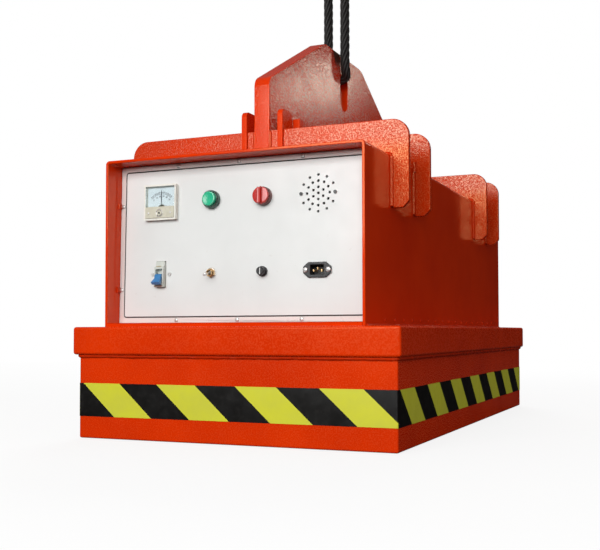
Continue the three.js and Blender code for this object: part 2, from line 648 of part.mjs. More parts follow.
// Charger, relay and terminals stand on the floor between the panel and the batteries.
function buildElectronics() {
  const y0 = -424;
  const charger = block(-200, y0, floorTop, -60, y0 + 70, floorTop + 52);
  const fins = [];
  for (let i = 0; i < 7; i++) {
    const x = -190 + i * 19;
    fins.push(block(x, y0 + 6, floorTop + 51, x + 4, y0 + 64, floorTop + 58));
  }
  add('battery_charger', join(charger, ...fins), finish(0x8f959a, 0.45, 0.4));

  add('magnet_contactor', join(
    block(60, y0, floorTop, 130, y0 + 66, floorTop + 44),
    block(68, y0 + 8, floorTop + 43, 122, y0 + 58, floorTop + 60),
  ), finish(0x23272b, 0.5, 0));

  const strip = block(160, y0, floorTop, 200, y0 + 80, floorTop + 12);
  const lands = [];
  for (let i = 0; i < 6; i++) {
    const y = y0 + 4 + i * 13;
    lands.push(block(164, y, floorTop + 11, 196, y + 7, floorTop + 22));
  }
  add('terminal_block', join(strip, ...lands), finish(0xc8b68c, 0.6, 0));

  const shelfZ = floorTop + 124;
  add('board_shelf', join(
    block(-224, y0 + 4, shelfZ, 224, y0 + 96, shelfZ + 2),
    block(-224, y0 + 4, floorTop, -221, y0 + 96, shelfZ + 2),
    block(221, y0 + 4, floorTop, 224, y0 + 96, shelfZ + 2),
  ), steel());

  const boardZ = shelfZ + 14;
  const board = block(-90, y0 + 10, boardZ, 90, y0 + 90, boardZ + 1.6);
  const chips = [[-60, 20, 26, 12], [-10, 30, 34, 18], [50, 24, 20, 26]].map(([x, dy, size, height]) =>
    block(x, y0 + 10 + dy, boardZ + 1, x + size, y0 + 10 + dy + size, boardZ + height));
  const legs = [[-84, 16], [84, 16], [-84, 84], [84, 84]].map(([x, dy]) =>
    barZ(3, shelfZ + 2, boardZ + 1, x, y0 + dy, 8));
  add('control_board', join(board, ...chips, ...legs), finish(0x1f6b3c, 0.5, 0));

  // The magnet lead leaves the coil, rises through the yoke and floor, and runs forward to the contactor.
  const side = BATTERY.width / 2 + 30;
  const run = floorTop + 12;
  const route = throughPoints([
    [LEAD_HOLE.x, LEAD_HOLE.y, COIL.top + 3], [LEAD_HOLE.x, LEAD_HOLE.y, YOKE.top],
    [LEAD_HOLE.x + 4, LEAD_HOLE.y + 2, floorTop + 6], [LEAD_HOLE.x + 30, LEAD_HOLE.y + 12, run],
    [side - 30, LEAD_HOLE.y + 12, run], [side, LEAD_HOLE.y - 40, run], [side, 0, run],
    [side, y0 + 140, run], [side - 30, y0 + 104, run], [146, y0 + 84, run], [146, y0 + 50, run],
  ]);
  add('magnet_lead', cable(route, 6, 44, 5), rubber());
}

// ---------- suspension ----------

function saddleShape() {
  const inner = CASE.half + GAP + 2.5;
  const shelf = CASE.top + GAP;
  const { half, top, legBottom, corner, chamfer } = SADDLE;
  const shape = new THREE.Shape();
  shape.moveTo(inner, legBottom);
  shape.lineTo(half - chamfer, legBottom);
  shape.lineTo(half, legBottom + chamfer);
  shape.absarc(half - corner, top - corner, corner, 0, Math.PI / 2);
  shape.absarc(-half + corner, top - corner, corner, Math.PI / 2, Math.PI);
  shape.lineTo(-half, legBottom + chamfer);
  shape.lineTo(-half + chamfer, legBottom);
  shape.lineTo(-inner, legBottom);
  shape.absarc(-inner + SADDLE.inner, shelf - SADDLE.inner, SADDLE.inner, Math.PI, Math.PI / 2, true);
  shape.absarc(inner - SADDLE.inner, shelf - SADDLE.inner, SADDLE.inner, Math.PI / 2, 0, true);
  return shape;
}

function lugShape() {
  const base = CASE.top + GAP;
  const { end, shoulder, top, flat } = LUG;
  const soft = 14;
  const slopeY = end - flat;
  const slopeZ = top - shoulder;
  const length = Math.hypot(slopeY, slopeZ);
  const along = [slopeY / length, slopeZ / length];
  const shape = new THREE.Shape();
  shape.moveTo(-end, base);
  shape.lineTo(-end, shoulder - soft);
  shape.quadraticCurveTo(-end, shoulder, -end + along[0] * soft, shoulder + along[1] * soft);
  shape.lineTo(-flat - along[0] * soft, top - along[1] * soft);
  shape.quadraticCurveTo(-flat, top, -flat + soft, top);
  shape.lineTo(flat - soft, top);
  shape.quadraticCurveTo(flat, top, flat + along[0] * soft, top - along[1] * soft);
  shape.lineTo(end - along[0] * soft, shoulder + along[1] * soft);
  shape.quadraticCurveTo(end, shoulder, end, shoulder - soft);
  shape.lineTo(end, base);
  const slot = new THREE.Path();
  slot.absarc(0, SLOT.top - SLOT.half, SLOT.half, 0, Math.PI);
  slot.absarc(0, SLOT.bottom + SLOT.half, SLOT.half, Math.PI, Math.PI * 2);
  shape.holes.push(slot);
  return shape;
}

function earShape() {
  const base = CASE.top + GAP;
  const { depth, top, corner } = EAR;
  const front = -LUG.end;
  const shape = new THREE.Shape();
  shape.moveTo(front, base);
  shape.lineTo(front + depth, base);
  shape.absarc(front + depth - corner, top - corner, corner, 0, Math.PI / 2);
  shape.absarc(front + corner, top - corner, corner, Math.PI / 2, Math.PI);
  return shape;
}

// The lug and ears are notched from below and the saddles from above, so that they interlock.
function saddleNotch(y) {
  const half = SADDLE.thickness / 2 + GAP;
  return block(-EAR.outer - 5, y - half, CASE.top - 5, EAR.outer + 5, y + half, LAP);
}

function plateNotch(x0, x1, y) {
  const half = SADDLE.thickness / 2 + 5;
  return block(x0 - GAP, y - half, LAP - GAP, x1 + GAP, y + half, SADDLE.top + 5);
}

function buildSuspension() {
  const lug = wallYZ(lugShape(), -LUG.half, LUG.half);
  add('main_lug', cut(lug, ...SADDLE_Y.map(saddleNotch)), redPaint());

  for (const [side, x0, x1] of [['left', -EAR.outer, -EAR.inner], ['right', EAR.inner, EAR.outer]]) {
    add(`front_ear_${side}`, cut(wallYZ(earShape(), x0, x1), saddleNotch(SADDLE_Y[0])), redPaint());
    const rear = wallYZ(earShape(), -x1, -x0);
    rear.rotateZ(Math.PI);
    add(`rear_ear_${side}`, cut(rear, saddleNotch(SADDLE_Y[3])), redPaint());
  }

  SADDLE_Y.forEach((y, i) => {
    const plate = wallXZ(saddleShape(), y - SADDLE.thickness / 2, y + SADDLE.thickness / 2);
    const passes = [plateNotch(-LUG.half, LUG.half, y)];
    const outerSaddle = i === 0 || i === SADDLE_Y.length - 1;
    if (outerSaddle) {
      passes.push(plateNotch(-EAR.outer, -EAR.inner, y), plateNotch(EAR.inner, EAR.outer, y));
    }
    add(`saddle_${i + 1}`, cut(plate, ...passes), redPaint());
  });

  const post = block(POST.x0, POST.front, CASE.top + GAP, POST.x1, POST.back, POST.top);
  add('guide_post', post, redPaint());
}

// ---------- sling ----------

function buildSling() {
  const { radius, side, front, rear, top } = ROPE;
  const low = SLOT.top - radius - 5;
  const seam = low + 150; // the two halves of the endless loop overlap here
  const throughSlot = throughPoints([
    [side, front, seam], [side, front, low + 40], [side, front, low + 16], [side - 3, front * 0.8, low + 4],
    [10, front * 0.4, low], [-10, rear * 0.4, low], [-side + 3, rear * 0.8, low + 4], [-side, rear, low + 16],
    [-side, rear, low + 40], [-side, rear, seam],
  ]);
  const bight = throughPoints([
    [side, front, seam - 20], [side, front, seam], [side, front, top - 60], [side - 9, front * 0.6, top - 24],
    [0, -2, top - radius], [-side + 9, rear * 0.6, top - 24], [-side, rear, top - 60], [-side, rear, seam],
    [-side, rear, seam - 20],
  ]);
  add('sling', join(cable(throughSlot, radius, 40, 6), cable(bight, radius, 32, 6)), rubber());
}

buildMagnet();
buildCase();
buildRear();
buildPanel();
buildMeter();
buildButtons();
buildSounder();
buildBreaker();
buildToggleSwitch();
buildFuse();
buildInlet();
buildBatteries();
buildElectronics();
buildSuspension();
buildSling();

export default group;
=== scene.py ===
"""Looks of the battery lifting magnet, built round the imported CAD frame.

Metres, +Z up, the control panel faces -Y. Names that end in _mm are in millimetres, and so is every
panel coordinate. Painted and moulded CAD nodes are copied, cleaned and given rounded edges by soften();
turned parts, screws, welds, the needle and the sling are built new.
"""

import json
import math

import bmesh
import bpy
import numpy as np
from mathutils import Matrix, Vector, noise


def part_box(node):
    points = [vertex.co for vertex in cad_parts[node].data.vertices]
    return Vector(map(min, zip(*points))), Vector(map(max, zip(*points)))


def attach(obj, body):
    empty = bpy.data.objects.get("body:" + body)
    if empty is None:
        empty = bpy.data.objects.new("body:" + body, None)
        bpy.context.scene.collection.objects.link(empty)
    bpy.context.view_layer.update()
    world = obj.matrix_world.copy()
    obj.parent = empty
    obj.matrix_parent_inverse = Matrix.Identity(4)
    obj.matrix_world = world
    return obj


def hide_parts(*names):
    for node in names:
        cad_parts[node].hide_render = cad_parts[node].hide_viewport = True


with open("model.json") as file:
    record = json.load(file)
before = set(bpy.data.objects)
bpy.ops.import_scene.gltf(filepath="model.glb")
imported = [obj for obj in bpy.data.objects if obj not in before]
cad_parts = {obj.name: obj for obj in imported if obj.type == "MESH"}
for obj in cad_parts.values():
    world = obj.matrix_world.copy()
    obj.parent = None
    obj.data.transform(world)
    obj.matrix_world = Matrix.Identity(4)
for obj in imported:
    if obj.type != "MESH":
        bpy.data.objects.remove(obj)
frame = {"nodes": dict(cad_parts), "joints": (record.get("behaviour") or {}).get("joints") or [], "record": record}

NODES = frame["nodes"]
BODIES = frame["record"]["behaviour"]["bodies"]
BODY_OF = {node: body for body, members in BODIES.items() for node in members}
JOINTS = {joint["name"]: joint for joint in frame["joints"]}
MM = 0.001
WELD_SEED = 7
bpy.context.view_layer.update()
noise.seed_set(WELD_SEED)  # otherwise noise_vector takes its seed from the clock


# ---------- node materials ----------

def add_node(tree, kind, inputs=None, **settings):
    """Adds a shader node to a tree; each input is a socket to link or a plain value."""
    node = tree.nodes.new("ShaderNode" + kind)
    for key, value in settings.items():
        setattr(node, key, value)
    for key, value in (inputs or {}).items():
        if isinstance(value, bpy.types.NodeSocket):
            tree.links.new(value, node.inputs[key])
        else:
            node.inputs[key].default_value = value
    return node


class Recipe:
    """Builds one node material. add() returns a node; noise() to bump() return an output socket."""

    def __init__(self, name):
        self.material = bpy.data.materials.new(name)
        self.material.use_nodes = True
        self.tree = self.material.node_tree
        self.tree.nodes.clear()
        self.place = self.add("TexCoord").outputs["Object"]

    def add(self, kind, inputs=None, **settings):
        return add_node(self.tree, kind, inputs, **settings)

    def noise(self, size_mm, detail=3.0, rough=0.55, place=None):
        """Noise whose blobs are about size_mm across."""
        inputs = {"Vector": place or self.place, "Scale": 1 / (size_mm * MM), "Detail": detail,
                  "Roughness": rough}
        return self.add("TexNoise", inputs).outputs["Fac"]

    def remap(self, value, low, high, to_low=0.0, to_high=1.0):
        inputs = {"Value": value, "From Min": low, "From Max": high, "To Min": to_low, "To Max": to_high}
        return self.add("MapRange", inputs).outputs["Result"]

    def math(self, operation, a, b=0.0):
        return self.add("Math", {0: a, 1: b}, operation=operation).outputs[0]

    def times(self, a, b):
        return self.math("MULTIPLY", a, b)

    def plus(self, a, b):
        return self.math("ADD", a, b)

    def mix(self, factor, a, b):
        """Blend of two colours; each is a socket or (r, g, b)."""
        a, b = ((*colour, 1) if isinstance(colour, tuple) else colour for colour in (a, b))
        return self.add("Mix", {0: factor, 6: a, 7: b}, data_type="RGBA").outputs[2]

    def distance(self, point, stretch=(1, 1, 1)):
        """Distance from a point in metres, measured with the axes stretched."""
        offset = self.add("VectorMath", {0: self.place, 1: point}, operation="SUBTRACT").outputs[0]
        scaled = self.add("VectorMath", {0: offset, 1: stretch}, operation="MULTIPLY").outputs[0]
        return self.add("VectorMath", {0: scaled}, operation="LENGTH").outputs["Value"]

    def edges(self, radius_mm):
        """1 on the rounded edges of the geometry, 0 on its flats."""
        soft = self.add("Bevel", {"Radius": radius_mm * MM}, samples=4).outputs["Normal"]
        flat = self.add("NewGeometry").outputs["Normal"]
        dot = self.add("VectorMath", {0: soft, 1: flat}, operation="DOT_PRODUCT").outputs["Value"]
        return self.remap(dot, 0.995, 0.9)

    def bump(self, layers):
        """Stacks (height socket, strength, depth in mm) layers into one normal."""
        normal = None
        for height, strength, depth_mm in layers:
            inputs = {"Height": height, "Strength": strength, "Distance": depth_mm * MM}
            if normal is not None:
                inputs["Normal"] = normal
            normal = self.add("Bump", inputs).outputs["Normal"]
        return normal

    def finish(self, **inputs):
        """Ends the recipe with a principled surface; names use _ for a space."""
        named = {key.replace("_", " "): value for key, value in inputs.items()}
        return self.close(self.add("BsdfPrincipled", named).outputs[0])

    def close(self, surface):
        """Ends the recipe with a surface shader and returns the material."""
        self.add("OutputMaterial", {"Surface": surface})
        return self.material


RED = (0.73, 0.036, 0.0008)
DEEP_RED = (0.52, 0.016, 0.0006)
WARM_SHINE = (1.0, 0.68, 0.32)
PALE_SHINE = (1.0, 0.86, 0.64)
# pale grey-beige of a painted sheen on the lug's cheeks, standing in for a reflection of light
PAINTED_SHEEN = (0.62, 0.50, 0.42)
# near-black of a dark ragged patch on the lug's top, and how far it reaches in mm
DARK_PATCH_COLOUR = (0.02, 0.016, 0.012)
DARK_PATCH_MM = 34
BARE_EDGE = (0.11, 0.05, 0.035)


def enamel(name, light=RED, dark=DEEP_RED, peel_mm=2.2, peel=0.2, rough=0.24, wear=0.5, sparkle=0.0,
           shine=WARM_SHINE, grain=(1, 1, 1), gloss=0.5, speckle=0.0, haze_from=10.0, sheen_at=None,
           dark_patch_at=None):
    """Sprayed enamel over plate: patchy tint, orange peel, fine grit, edges painted lighter, partly as scuffed
    wear and partly as a painted highlight.

    speckle breaks the shine up into small bright and dull spots. Above the height haze_from
    (metres) dry overspray turns the shine paler. sheen_at is the middle of a patch of pale grains
    on the faces that look along X, a painted sheen that stands in for a reflection, and dark_patch_at
    is the middle of a dark ragged patch.
    """
    r = Recipe(name)
    spread = r.add("Mapping", {"Vector": r.place, "Scale": grain}).outputs["Vector"]
    patches = r.remap(r.noise(160, 4), 0.35, 0.7)
    colour = r.mix(patches, light, tuple(0.5 * (a + b) for a, b in zip(light, dark)))
    freckles = r.remap(r.noise(2.2, 2), 0.66, 0.74, 0, 0.35)
    colour = r.mix(freckles, colour, dark)
    # pale grains painted on the faces that look along X round a given point: a painted sheen that stands in for a
    # reflection
    if sheen_at:
        facing = r.add("SeparateXYZ", {0: r.add("NewGeometry").outputs["True Normal"]}).outputs["X"]
        cheek = r.math("GREATER_THAN", r.math("ABSOLUTE", facing), 0.9)
        near = r.remap(r.distance(sheen_at, (0, 1, 2.9)), 0.42, 0.10)
        sheen_grains = r.remap(r.noise(2.8, 0.5, 0.4, spread), 0.42, 0.62, 0.0, 0.55)
        colour = r.mix(r.times(r.times(near, cheek), sheen_grains), colour, PAINTED_SHEEN)
    edge = r.edges(2.5)
    # edges painted a lighter red: partly scuffed wear, partly a painted highlight on the rounded edges
    scuffs_and_edge_highlight = r.times(edge, r.remap(r.noise(14, 6, 0.7), 0.5, 0.62, 0, wear))
    colour = r.mix(scuffs_and_edge_highlight, colour, tuple(min(1.0, 1.25 * a + 0.05) for a in light))
    chips = r.times(edge, r.remap(r.noise(5, 4, 0.6), 0.70, 0.74, 0, 0.6 * wear))
    colour = r.mix(chips, colour, BARE_EDGE)
    dull = r.remap(r.noise(45, 5, 0.6), 0.3, 0.75, rough - 0.05, rough + 0.09)
    dull = r.plus(dull, r.times(chips, 0.4))
    grit = r.remap(r.noise(2.3, 1.0, 0.4, spread), 0.44, 0.56, -0.3 * sparkle, sparkle)
    dull = r.plus(dull, grit)
    # a dark ragged patch round a given point on the lug's top, where the sling lies; it also dulls the paint
    if dark_patch_at:
        ragged = r.plus(r.distance(dark_patch_at), r.remap(r.noise(9, 4), 0.3, 0.7, -6 * MM, 6 * MM))
        dark_patch_mask = r.remap(ragged, DARK_PATCH_MM * MM, 0.5 * DARK_PATCH_MM * MM, 0, 0.93)
        colour = r.mix(dark_patch_mask, colour, DARK_PATCH_COLOUR)
        dull = r.plus(dull, r.times(dark_patch_mask, 0.25))
    normal = r.bump([
        (r.noise(peel_mm, 1.0, 0.4, spread), peel, 0.8),
        (r.noise(0.45 * peel_mm, 1.0, 0.4), 0.6 * peel, 0.3),
        (r.noise(90, 2), 0.15, 0.5),
    ])
    height = r.add("SeparateXYZ", {0: r.place}).outputs["Z"]
    tint = r.mix(r.remap(height, haze_from, haze_from + 0.03), shine, PALE_SHINE)
    spots = r.noise(2.6, 0.5, 0.4, spread)
    level = r.remap(spots, 0.40, 0.60, gloss * (1 - speckle), gloss * (1 + speckle))
    return r.finish(Base_Color=colour, Roughness=dull, Normal=normal, Specular_Tint=tint,
                    Specular_IOR_Level=level)


def off_white(name, light, dark, rough=0.34):
    """Satin powder coat of the panel, a little uneven, with faint handling marks."""
    r = Recipe(name)
    cloud = r.remap(r.noise(120, 3), 0.3, 0.7)
    colour = r.mix(cloud, light, dark)
    marks = r.times(r.remap(r.noise(9, 5, 0.65), 0.66, 0.72), 0.14)
    colour = r.mix(marks, colour, (0.42, 0.37, 0.3))
    edge = r.times(r.edges(0.8), 0.35)
    colour = r.mix(edge, colour, (0.3, 0.28, 0.26))
    dull = r.remap(r.noise(30, 4), 0.3, 0.7, rough - 0.05, rough + 0.1)
    normal = r.bump([(r.noise(1.6, 2), 0.12, 0.12), (r.noise(90, 2), 0.3, 0.5)])
    return r.finish(Base_Color=colour, Roughness=dull, Normal=normal)


def plastic(name, light, dark, rough=0.32, grain_mm=0.7, grain=0.12, wear=(0.5, 0.5, 0.5), **extra):
    """Moulded plastic: faint mould grain, dusty patches, rubbed edges."""
    r = Recipe(name)
    colour = r.mix(r.remap(r.noise(16, 4), 0.35, 0.7), light, dark)
    rubbed = r.times(r.edges(0.7), r.remap(r.noise(4, 4), 0.45, 0.65, 0, 0.4))
    colour = r.mix(rubbed, colour, wear)
    dull = r.remap(r.noise(9, 5), 0.3, 0.7, rough - 0.06, rough + 0.12)
    normal = r.bump([(r.noise(grain_mm, 2), grain, 0.06)])
    return r.finish(Base_Color=colour, Roughness=dull, Normal=normal, **extra)


def metal(name, light, dark, rough=0.28, stretch=(1, 1, 14), line_mm=0.5, metallic=1.0):
    """Machined or plated metal with fine drawn lines, tarnish and polished edges."""
    r = Recipe(name)
    drawn = r.add("Mapping", {"Vector": r.place, "Scale": stretch}).outputs["Vector"]
    lines = r.noise(line_mm * 10, 3, 0.6, drawn)
    tarnish = r.remap(r.noise(7, 5, 0.65), 0.4, 0.72)
    colour = r.mix(tarnish, light, dark)
    bright = r.times(r.edges(0.6), 0.5)
    colour = r.mix(bright, colour, tuple(min(1.0, 1.25 * a) for a in light))
    dull = r.remap(r.noise(5, 5), 0.3, 0.7, rough - 0.08, rough + 0.14)
    normal = r.bump([(lines, 0.15, 0.05), (r.noise(3, 3), 0.1, 0.05)])
    return r.finish(Base_Color=colour, Roughness=dull, Normal=normal, Metallic=metallic)


def rubber(name, light=(0.022, 0.02, 0.019), dark=(0.012, 0.011, 0.01)):
    r = Recipe(name)
    colour = r.mix(r.remap(r.noise(12, 5), 0.4, 0.7), light, dark)
    dust = r.times(r.remap(r.noise(3, 5), 0.55, 0.75), 0.25)
    colour = r.mix(dust, colour, (0.09, 0.08, 0.07))
    dull = r.remap(r.noise(6, 4), 0.3, 0.7, 0.5, 0.72)
    return r.finish(Base_Color=colour, Roughness=dull, Normal=r.bump([(r.noise(1.1, 3), 0.35, 0.15)]))


def hazard_stripes():
    """Yellow and black slanting bands that run round the four sides of the base."""
    band, top = 74.3 * MM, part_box("hazard_tape")[1].z
    r = Recipe("hazard_tape")
    xyz = r.add("SeparateXYZ", {0: r.place}).outputs
    facing = r.add("SeparateXYZ", {0: r.add("NewGeometry").outputs["True Normal"]}).outputs
    drop = r.math("SUBTRACT", top, xyz["Z"])
    yellow = 0.0
    # each side: its normal, the axis it runs along, the first yellow's start in mm, the bands' lean
    for normal_axis, sign, axis, way, start, lean in (
            ("Y", -1, "X", 1, -283.1, 1.113), ("X", 1, "Y", 1, -480.6, 1.045),
            ("Y", 1, "X", -1, -283.1, 1.113), ("X", -1, "Y", -1, -480.6, 1.045)):
        along = r.math("SUBTRACT", r.times(xyz[axis], way), start * MM)
        shifted = r.math("SUBTRACT", along, r.times(drop, lean))
        bands = r.math("LESS_THAN", r.math("FLOORED_MODULO", shifted, 2 * band), band)
        here = r.math("GREATER_THAN", r.times(facing[normal_axis], sign), 0.7)
        yellow = r.plus(yellow, r.times(bands, here))
    inked = r.mix(r.remap(r.noise(40, 4), 0.3, 0.7), (0.66, 0.66, 0.035), (0.60, 0.60, 0.05))
    black = r.mix(r.remap(r.noise(14, 5), 0.5, 0.75), (0.0055, 0.005, 0.0045), (0.014, 0.013, 0.012))
    colour = r.mix(yellow, black, inked)
    scratches = r.times(r.remap(r.noise(6, 8, 0.75), 0.69, 0.72), 0.35)
    colour = r.mix(scratches, colour, (0.2, 0.19, 0.17))
    dull = r.remap(r.noise(20, 4), 0.3, 0.7, 0.3, 0.46)
    normal = r.bump([(r.noise(26, 2), 0.35, 0.3), (r.noise(1.0, 2), 0.1, 0.05)])
    return r.finish(Base_Color=colour, Roughness=dull, Normal=normal, Specular_IOR_Level=0.3)


def clear_pane():
    """Clear acrylic: mostly see-through, with a glossy surface and a few hairline scratches."""
    r = Recipe("clear_pane")
    hair = r.remap(r.noise(2.5, 8, 0.8), 0.62, 0.66, 0.0, 0.05)
    see = r.add("BsdfTransparent", {"Color": (0.93, 0.96, 0.97, 1)}).outputs[0]
    waves = r.bump([(r.noise(12, 2), 0.1, 0.1)])
    shine = r.add("BsdfGlossy", {"Roughness": 0.06, "Normal": waves}).outputs[0]
    fresnel = r.add("Fresnel", {"IOR": 1.45}).outputs[0]
    factor = r.plus(r.times(fresnel, 0.8), hair)
    return r.close(r.add("MixShader", {0: factor, 1: see, 2: shine}).outputs[0])


RED_PLATE = enamel("red_enamel_on_plate", rough=0.20, sparkle=0.14, gloss=0.42, speckle=0.3)
# the saddles' red is a darker copy of the plate's enamel: shade painted into the colour, as the saddles catch more
# of the front light
SADDLE_RED_WITH_PAINTED_SHADE = enamel("red_enamel_on_saddle_with_painted_shade", (0.62, 0.036, 0.001), (0.50, 0.022, 0.0008), 2.7, 0.42, 0.19,
                    sparkle=0.2, gloss=0.72, speckle=0.6, haze_from=0.485)
RED_EAR = enamel("red_enamel_on_ear", sparkle=0.12, gloss=0.2)
RED_SHEET = enamel("red_enamel_on_sheet", peel_mm=4.0, peel=0.10, rough=0.12, wear=0.35)
LUG_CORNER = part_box("main_lug")[1]
# the lug's cheeks carry a painted sheen, a painted reflection of the light behind
RED_LUG = enamel("red_enamel_on_lug", peel_mm=2.7, peel=0.28, rough=0.10, sparkle=0.08, speckle=0.6,
                 shine=(1.0, 0.82, 0.58), grain=(1, 0.45, 1), sheen_at=(0, -0.12, 0.66),
                 dark_patch_at=(LUG_CORNER.x, -0.042, LUG_CORNER.z))
# welds and the panel clips get a darker red than the plate: shade painted into the colour for the corners and
# undersides where they sit
WELD_RED_WITH_PAINTED_SHADE = enamel("red_enamel_on_weld_with_painted_shade", (0.60, 0.026, 0.0008), (0.42, 0.014, 0.0006), 2.0, 0.3)
PANEL_WHITE = off_white("panel_white", (0.75, 0.765, 0.75), (0.69, 0.705, 0.69))
# the frame's grey carries a pink tint: a painted reflection of the red hood round it
BORDER_GREY_WITH_PAINTED_PINK = off_white("border_grey_with_painted_pink_reflection", (0.78, 0.72, 0.69), (0.70, 0.65, 0.62), 0.3)
SEAL = rubber("seal_rubber")
ZINC = metal("zinc_plate", (0.72, 0.72, 0.71), (0.50, 0.48, 0.45), 0.32, metallic=0.6)
GROUND_STEEL = metal("ground_steel", (0.50, 0.50, 0.50), (0.30, 0.28, 0.26), 0.34, (1, 16, 1), 0.8)
BRASS = metal("worn_brass", (0.75, 0.52, 0.26), (0.42, 0.25, 0.12), 0.28, metallic=0.8)
COPPER = metal("copper", (0.72, 0.34, 0.18), (0.35, 0.15, 0.09), 0.3)
WINDING = plastic("varnished_winding", (0.30, 0.10, 0.04), (0.16, 0.05, 0.02), 0.25, 1.5, 0.6)
BLACK = plastic("black_moulding", (0.022, 0.022, 0.023), (0.012, 0.012, 0.013), wear=(0.12, 0.12, 0.12))
CREAM = plastic("cream_moulding", (0.80, 0.795, 0.73), (0.74, 0.73, 0.66), 0.28, wear=(0.8, 0.79, 0.74))
AMBER = plastic("cream_strip", (0.62, 0.60, 0.49), (0.56, 0.54, 0.42), 0.25, wear=(0.6, 0.58, 0.48))
DIAL_CARD = plastic("dial_card", (0.88, 0.90, 0.905), (0.84, 0.87, 0.88), 0.6, 0.5, 0.05)
BREAKER_GREY = plastic("breaker_grey", (0.60, 0.63, 0.58), (0.52, 0.55, 0.50), 0.42, 0.8, 0.2)
BLUE = plastic("blue_moulding", (0.05, 0.22, 0.48), (0.035, 0.17, 0.40), 0.3)
GREEN = plastic("green_cap", (0.03, 0.50, 0.27), (0.02, 0.42, 0.22), 0.22, 0.9, 0.06, (0.3, 0.75, 0.55),
                Coat_Weight=0.5, Coat_Roughness=0.08)
RED_CAP = plastic("red_knob", (0.55, 0.022, 0.015), (0.42, 0.014, 0.01), 0.2, 0.9, 0.06, (0.8, 0.3, 0.26),
                  Coat_Weight=0.5, Coat_Roughness=0.08)
RING_DARK = metal("dark_ring", (0.10, 0.16, 0.135), (0.05, 0.075, 0.065), 0.3)
RING_RED = metal("red_dark_ring", (0.20, 0.09, 0.085), (0.09, 0.05, 0.05), 0.3)
BATTERY_GREY = plastic("battery_grey", (0.045, 0.05, 0.055), (0.03, 0.034, 0.038), 0.5, 1.2, 0.3)
BOARD_GREEN = plastic("board_green", (0.02, 0.16, 0.06), (0.015, 0.11, 0.04), 0.3)
BEIGE = plastic("terminal_beige", (0.52, 0.42, 0.24), (0.44, 0.34, 0.18), 0.45)
GREY_SHEET = off_white("grey_sheet", (0.22, 0.23, 0.24), (0.17, 0.18, 0.19), 0.4)
TAPE = hazard_stripes()
PANE = clear_pane()
ROPE = rubber("sling_black", (0.009, 0.008, 0.007), (0.005, 0.004, 0.004))
INK = plastic("dial_ink", (0.02, 0.02, 0.025), (0.03, 0.03, 0.035), 0.6)
# reddish-brown of a thin strip along the breaker's lower end
REDDISH_BROWN = plastic("reddish_brown_strip", (0.25, 0.07, 0.04), (0.16, 0.05, 0.03), 0.5)


# ---------- mesh helpers ----------

def add_object(name, data):
    """A new object in the scene that shows data."""
    made = bpy.data.objects.new(name, data)
    bpy.context.scene.collection.objects.link(made)
    return made


def to_mesh(name, bm):
    """A new mesh with the shape of bm; bm is freed."""
    mesh = bpy.data.meshes.new(name)
    bm.to_mesh(mesh)
    bm.free()
    return mesh


def piece(name, bm, material, node=None, body="magnet", slot=None, crease=38):
    """Makes a finished piece from a bmesh that is already in the row frame.

    A piece that stands for a CAD node takes over its body.
    """
    bmesh.ops.recalc_face_normals(bm, faces=bm.faces)
    mesh = to_mesh(name, bm)
    mesh.shade_smooth()
    mesh.set_sharp_from_angle(angle=math.radians(crease))
    mesh.materials.append(material)
    made = add_object(name, mesh)
    made.modifiers.new("level_flats", "WEIGHTED_NORMAL").keep_sharp = True
    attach(made, BODY_OF[node] if node else body)
    if node:
        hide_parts(node)


def cad_copy(node):
    """The CAD node's mesh as a clean bmesh: welded, with flat regions as single faces."""
    bm = bmesh.new()
    bm.from_mesh(NODES[node].data)
    bmesh.ops.remove_doubles(bm, verts=bm.verts, dist=2e-6)
    bmesh.ops.dissolve_limit(bm, angle_limit=math.radians(1.0), verts=bm.verts, edges=bm.edges)
    return bm


def round_edges(bm, radius_mm, segments=3, keep=None, sharper_than=30):
    """Rounds the edges of bm that are sharper than an angle, or only those that keep(edge) picks."""
    picked = [e for e in bm.edges if len(e.link_faces) == 2
              and e.calc_face_angle(0) > math.radians(sharper_than) and (keep is None or keep(e))]
    bmesh.ops.bevel(bm, geom=picked, offset=radius_mm * MM, segments=segments, profile=0.5,
                    affect="EDGES", clamp_overlap=True)
    return bm


def soften(node, radius_mm, material, segments=3, keep=None, name=None, sharper_than=30):
    """Stands for a CAD node with a copy of the same shape that has rounded edges."""
    bm = round_edges(cad_copy(node), radius_mm, segments, keep, sharper_than)
    piece(name or node + "_finished", bm, material, node)


def paint(node, material):
    """Gives a CAD node that keeps its shape a real material."""
    NODES[node].data.materials.clear()
    NODES[node].data.materials.append(material)


def skin(bm, pairs):
    """Faces between each pair of rings; a ring of a single vertex closes to a point."""
    for a, b in pairs:
        count = max(len(a), len(b))
        for i in range(count):
            j = (i + 1) % count
            corners = dict.fromkeys((a[i % len(a)], a[j % len(a)], b[j % len(b)], b[i % len(b)]))
            if len(corners) > 2:
                bm.faces.new(tuple(corners))
    bmesh.ops.recalc_face_normals(bm, faces=bm.faces)


def lathe(profile, segments=48):
    """Turned bmesh about the Y axis. The profile lists (radius, y) in mm; a 0 radius closes an end."""
    bm = bmesh.new()
    turn = [2 * math.pi * i / segments for i in range(segments)]
    rings = []
    for radius, y in profile:
        reach, angles = radius * MM, turn if radius else [0]
        rings.append([bm.verts.new((reach * math.cos(a), y * MM, reach * math.sin(a))) for a in angles])
    closed = profile[0][0] != 0
    pairs = list(zip(rings, rings[1:])) + ([(rings[-1], rings[0])] if closed else [])
    skin(bm, pairs)
    return bm


def block(low, high, radius_mm=0, segments=3):
    """Cuboid bmesh between two corners in mm; its edges are rounded where a radius is given."""
    bm = bmesh.new()
    bmesh.ops.create_cube(bm, size=1)
    low, high = Vector(low) * MM, Vector(high) * MM
    bm.transform(Matrix.Translation((low + high) / 2) @ Matrix.Diagonal((*(high - low), 1)))
    return round_edges(bm, radius_mm, segments) if radius_mm else bm


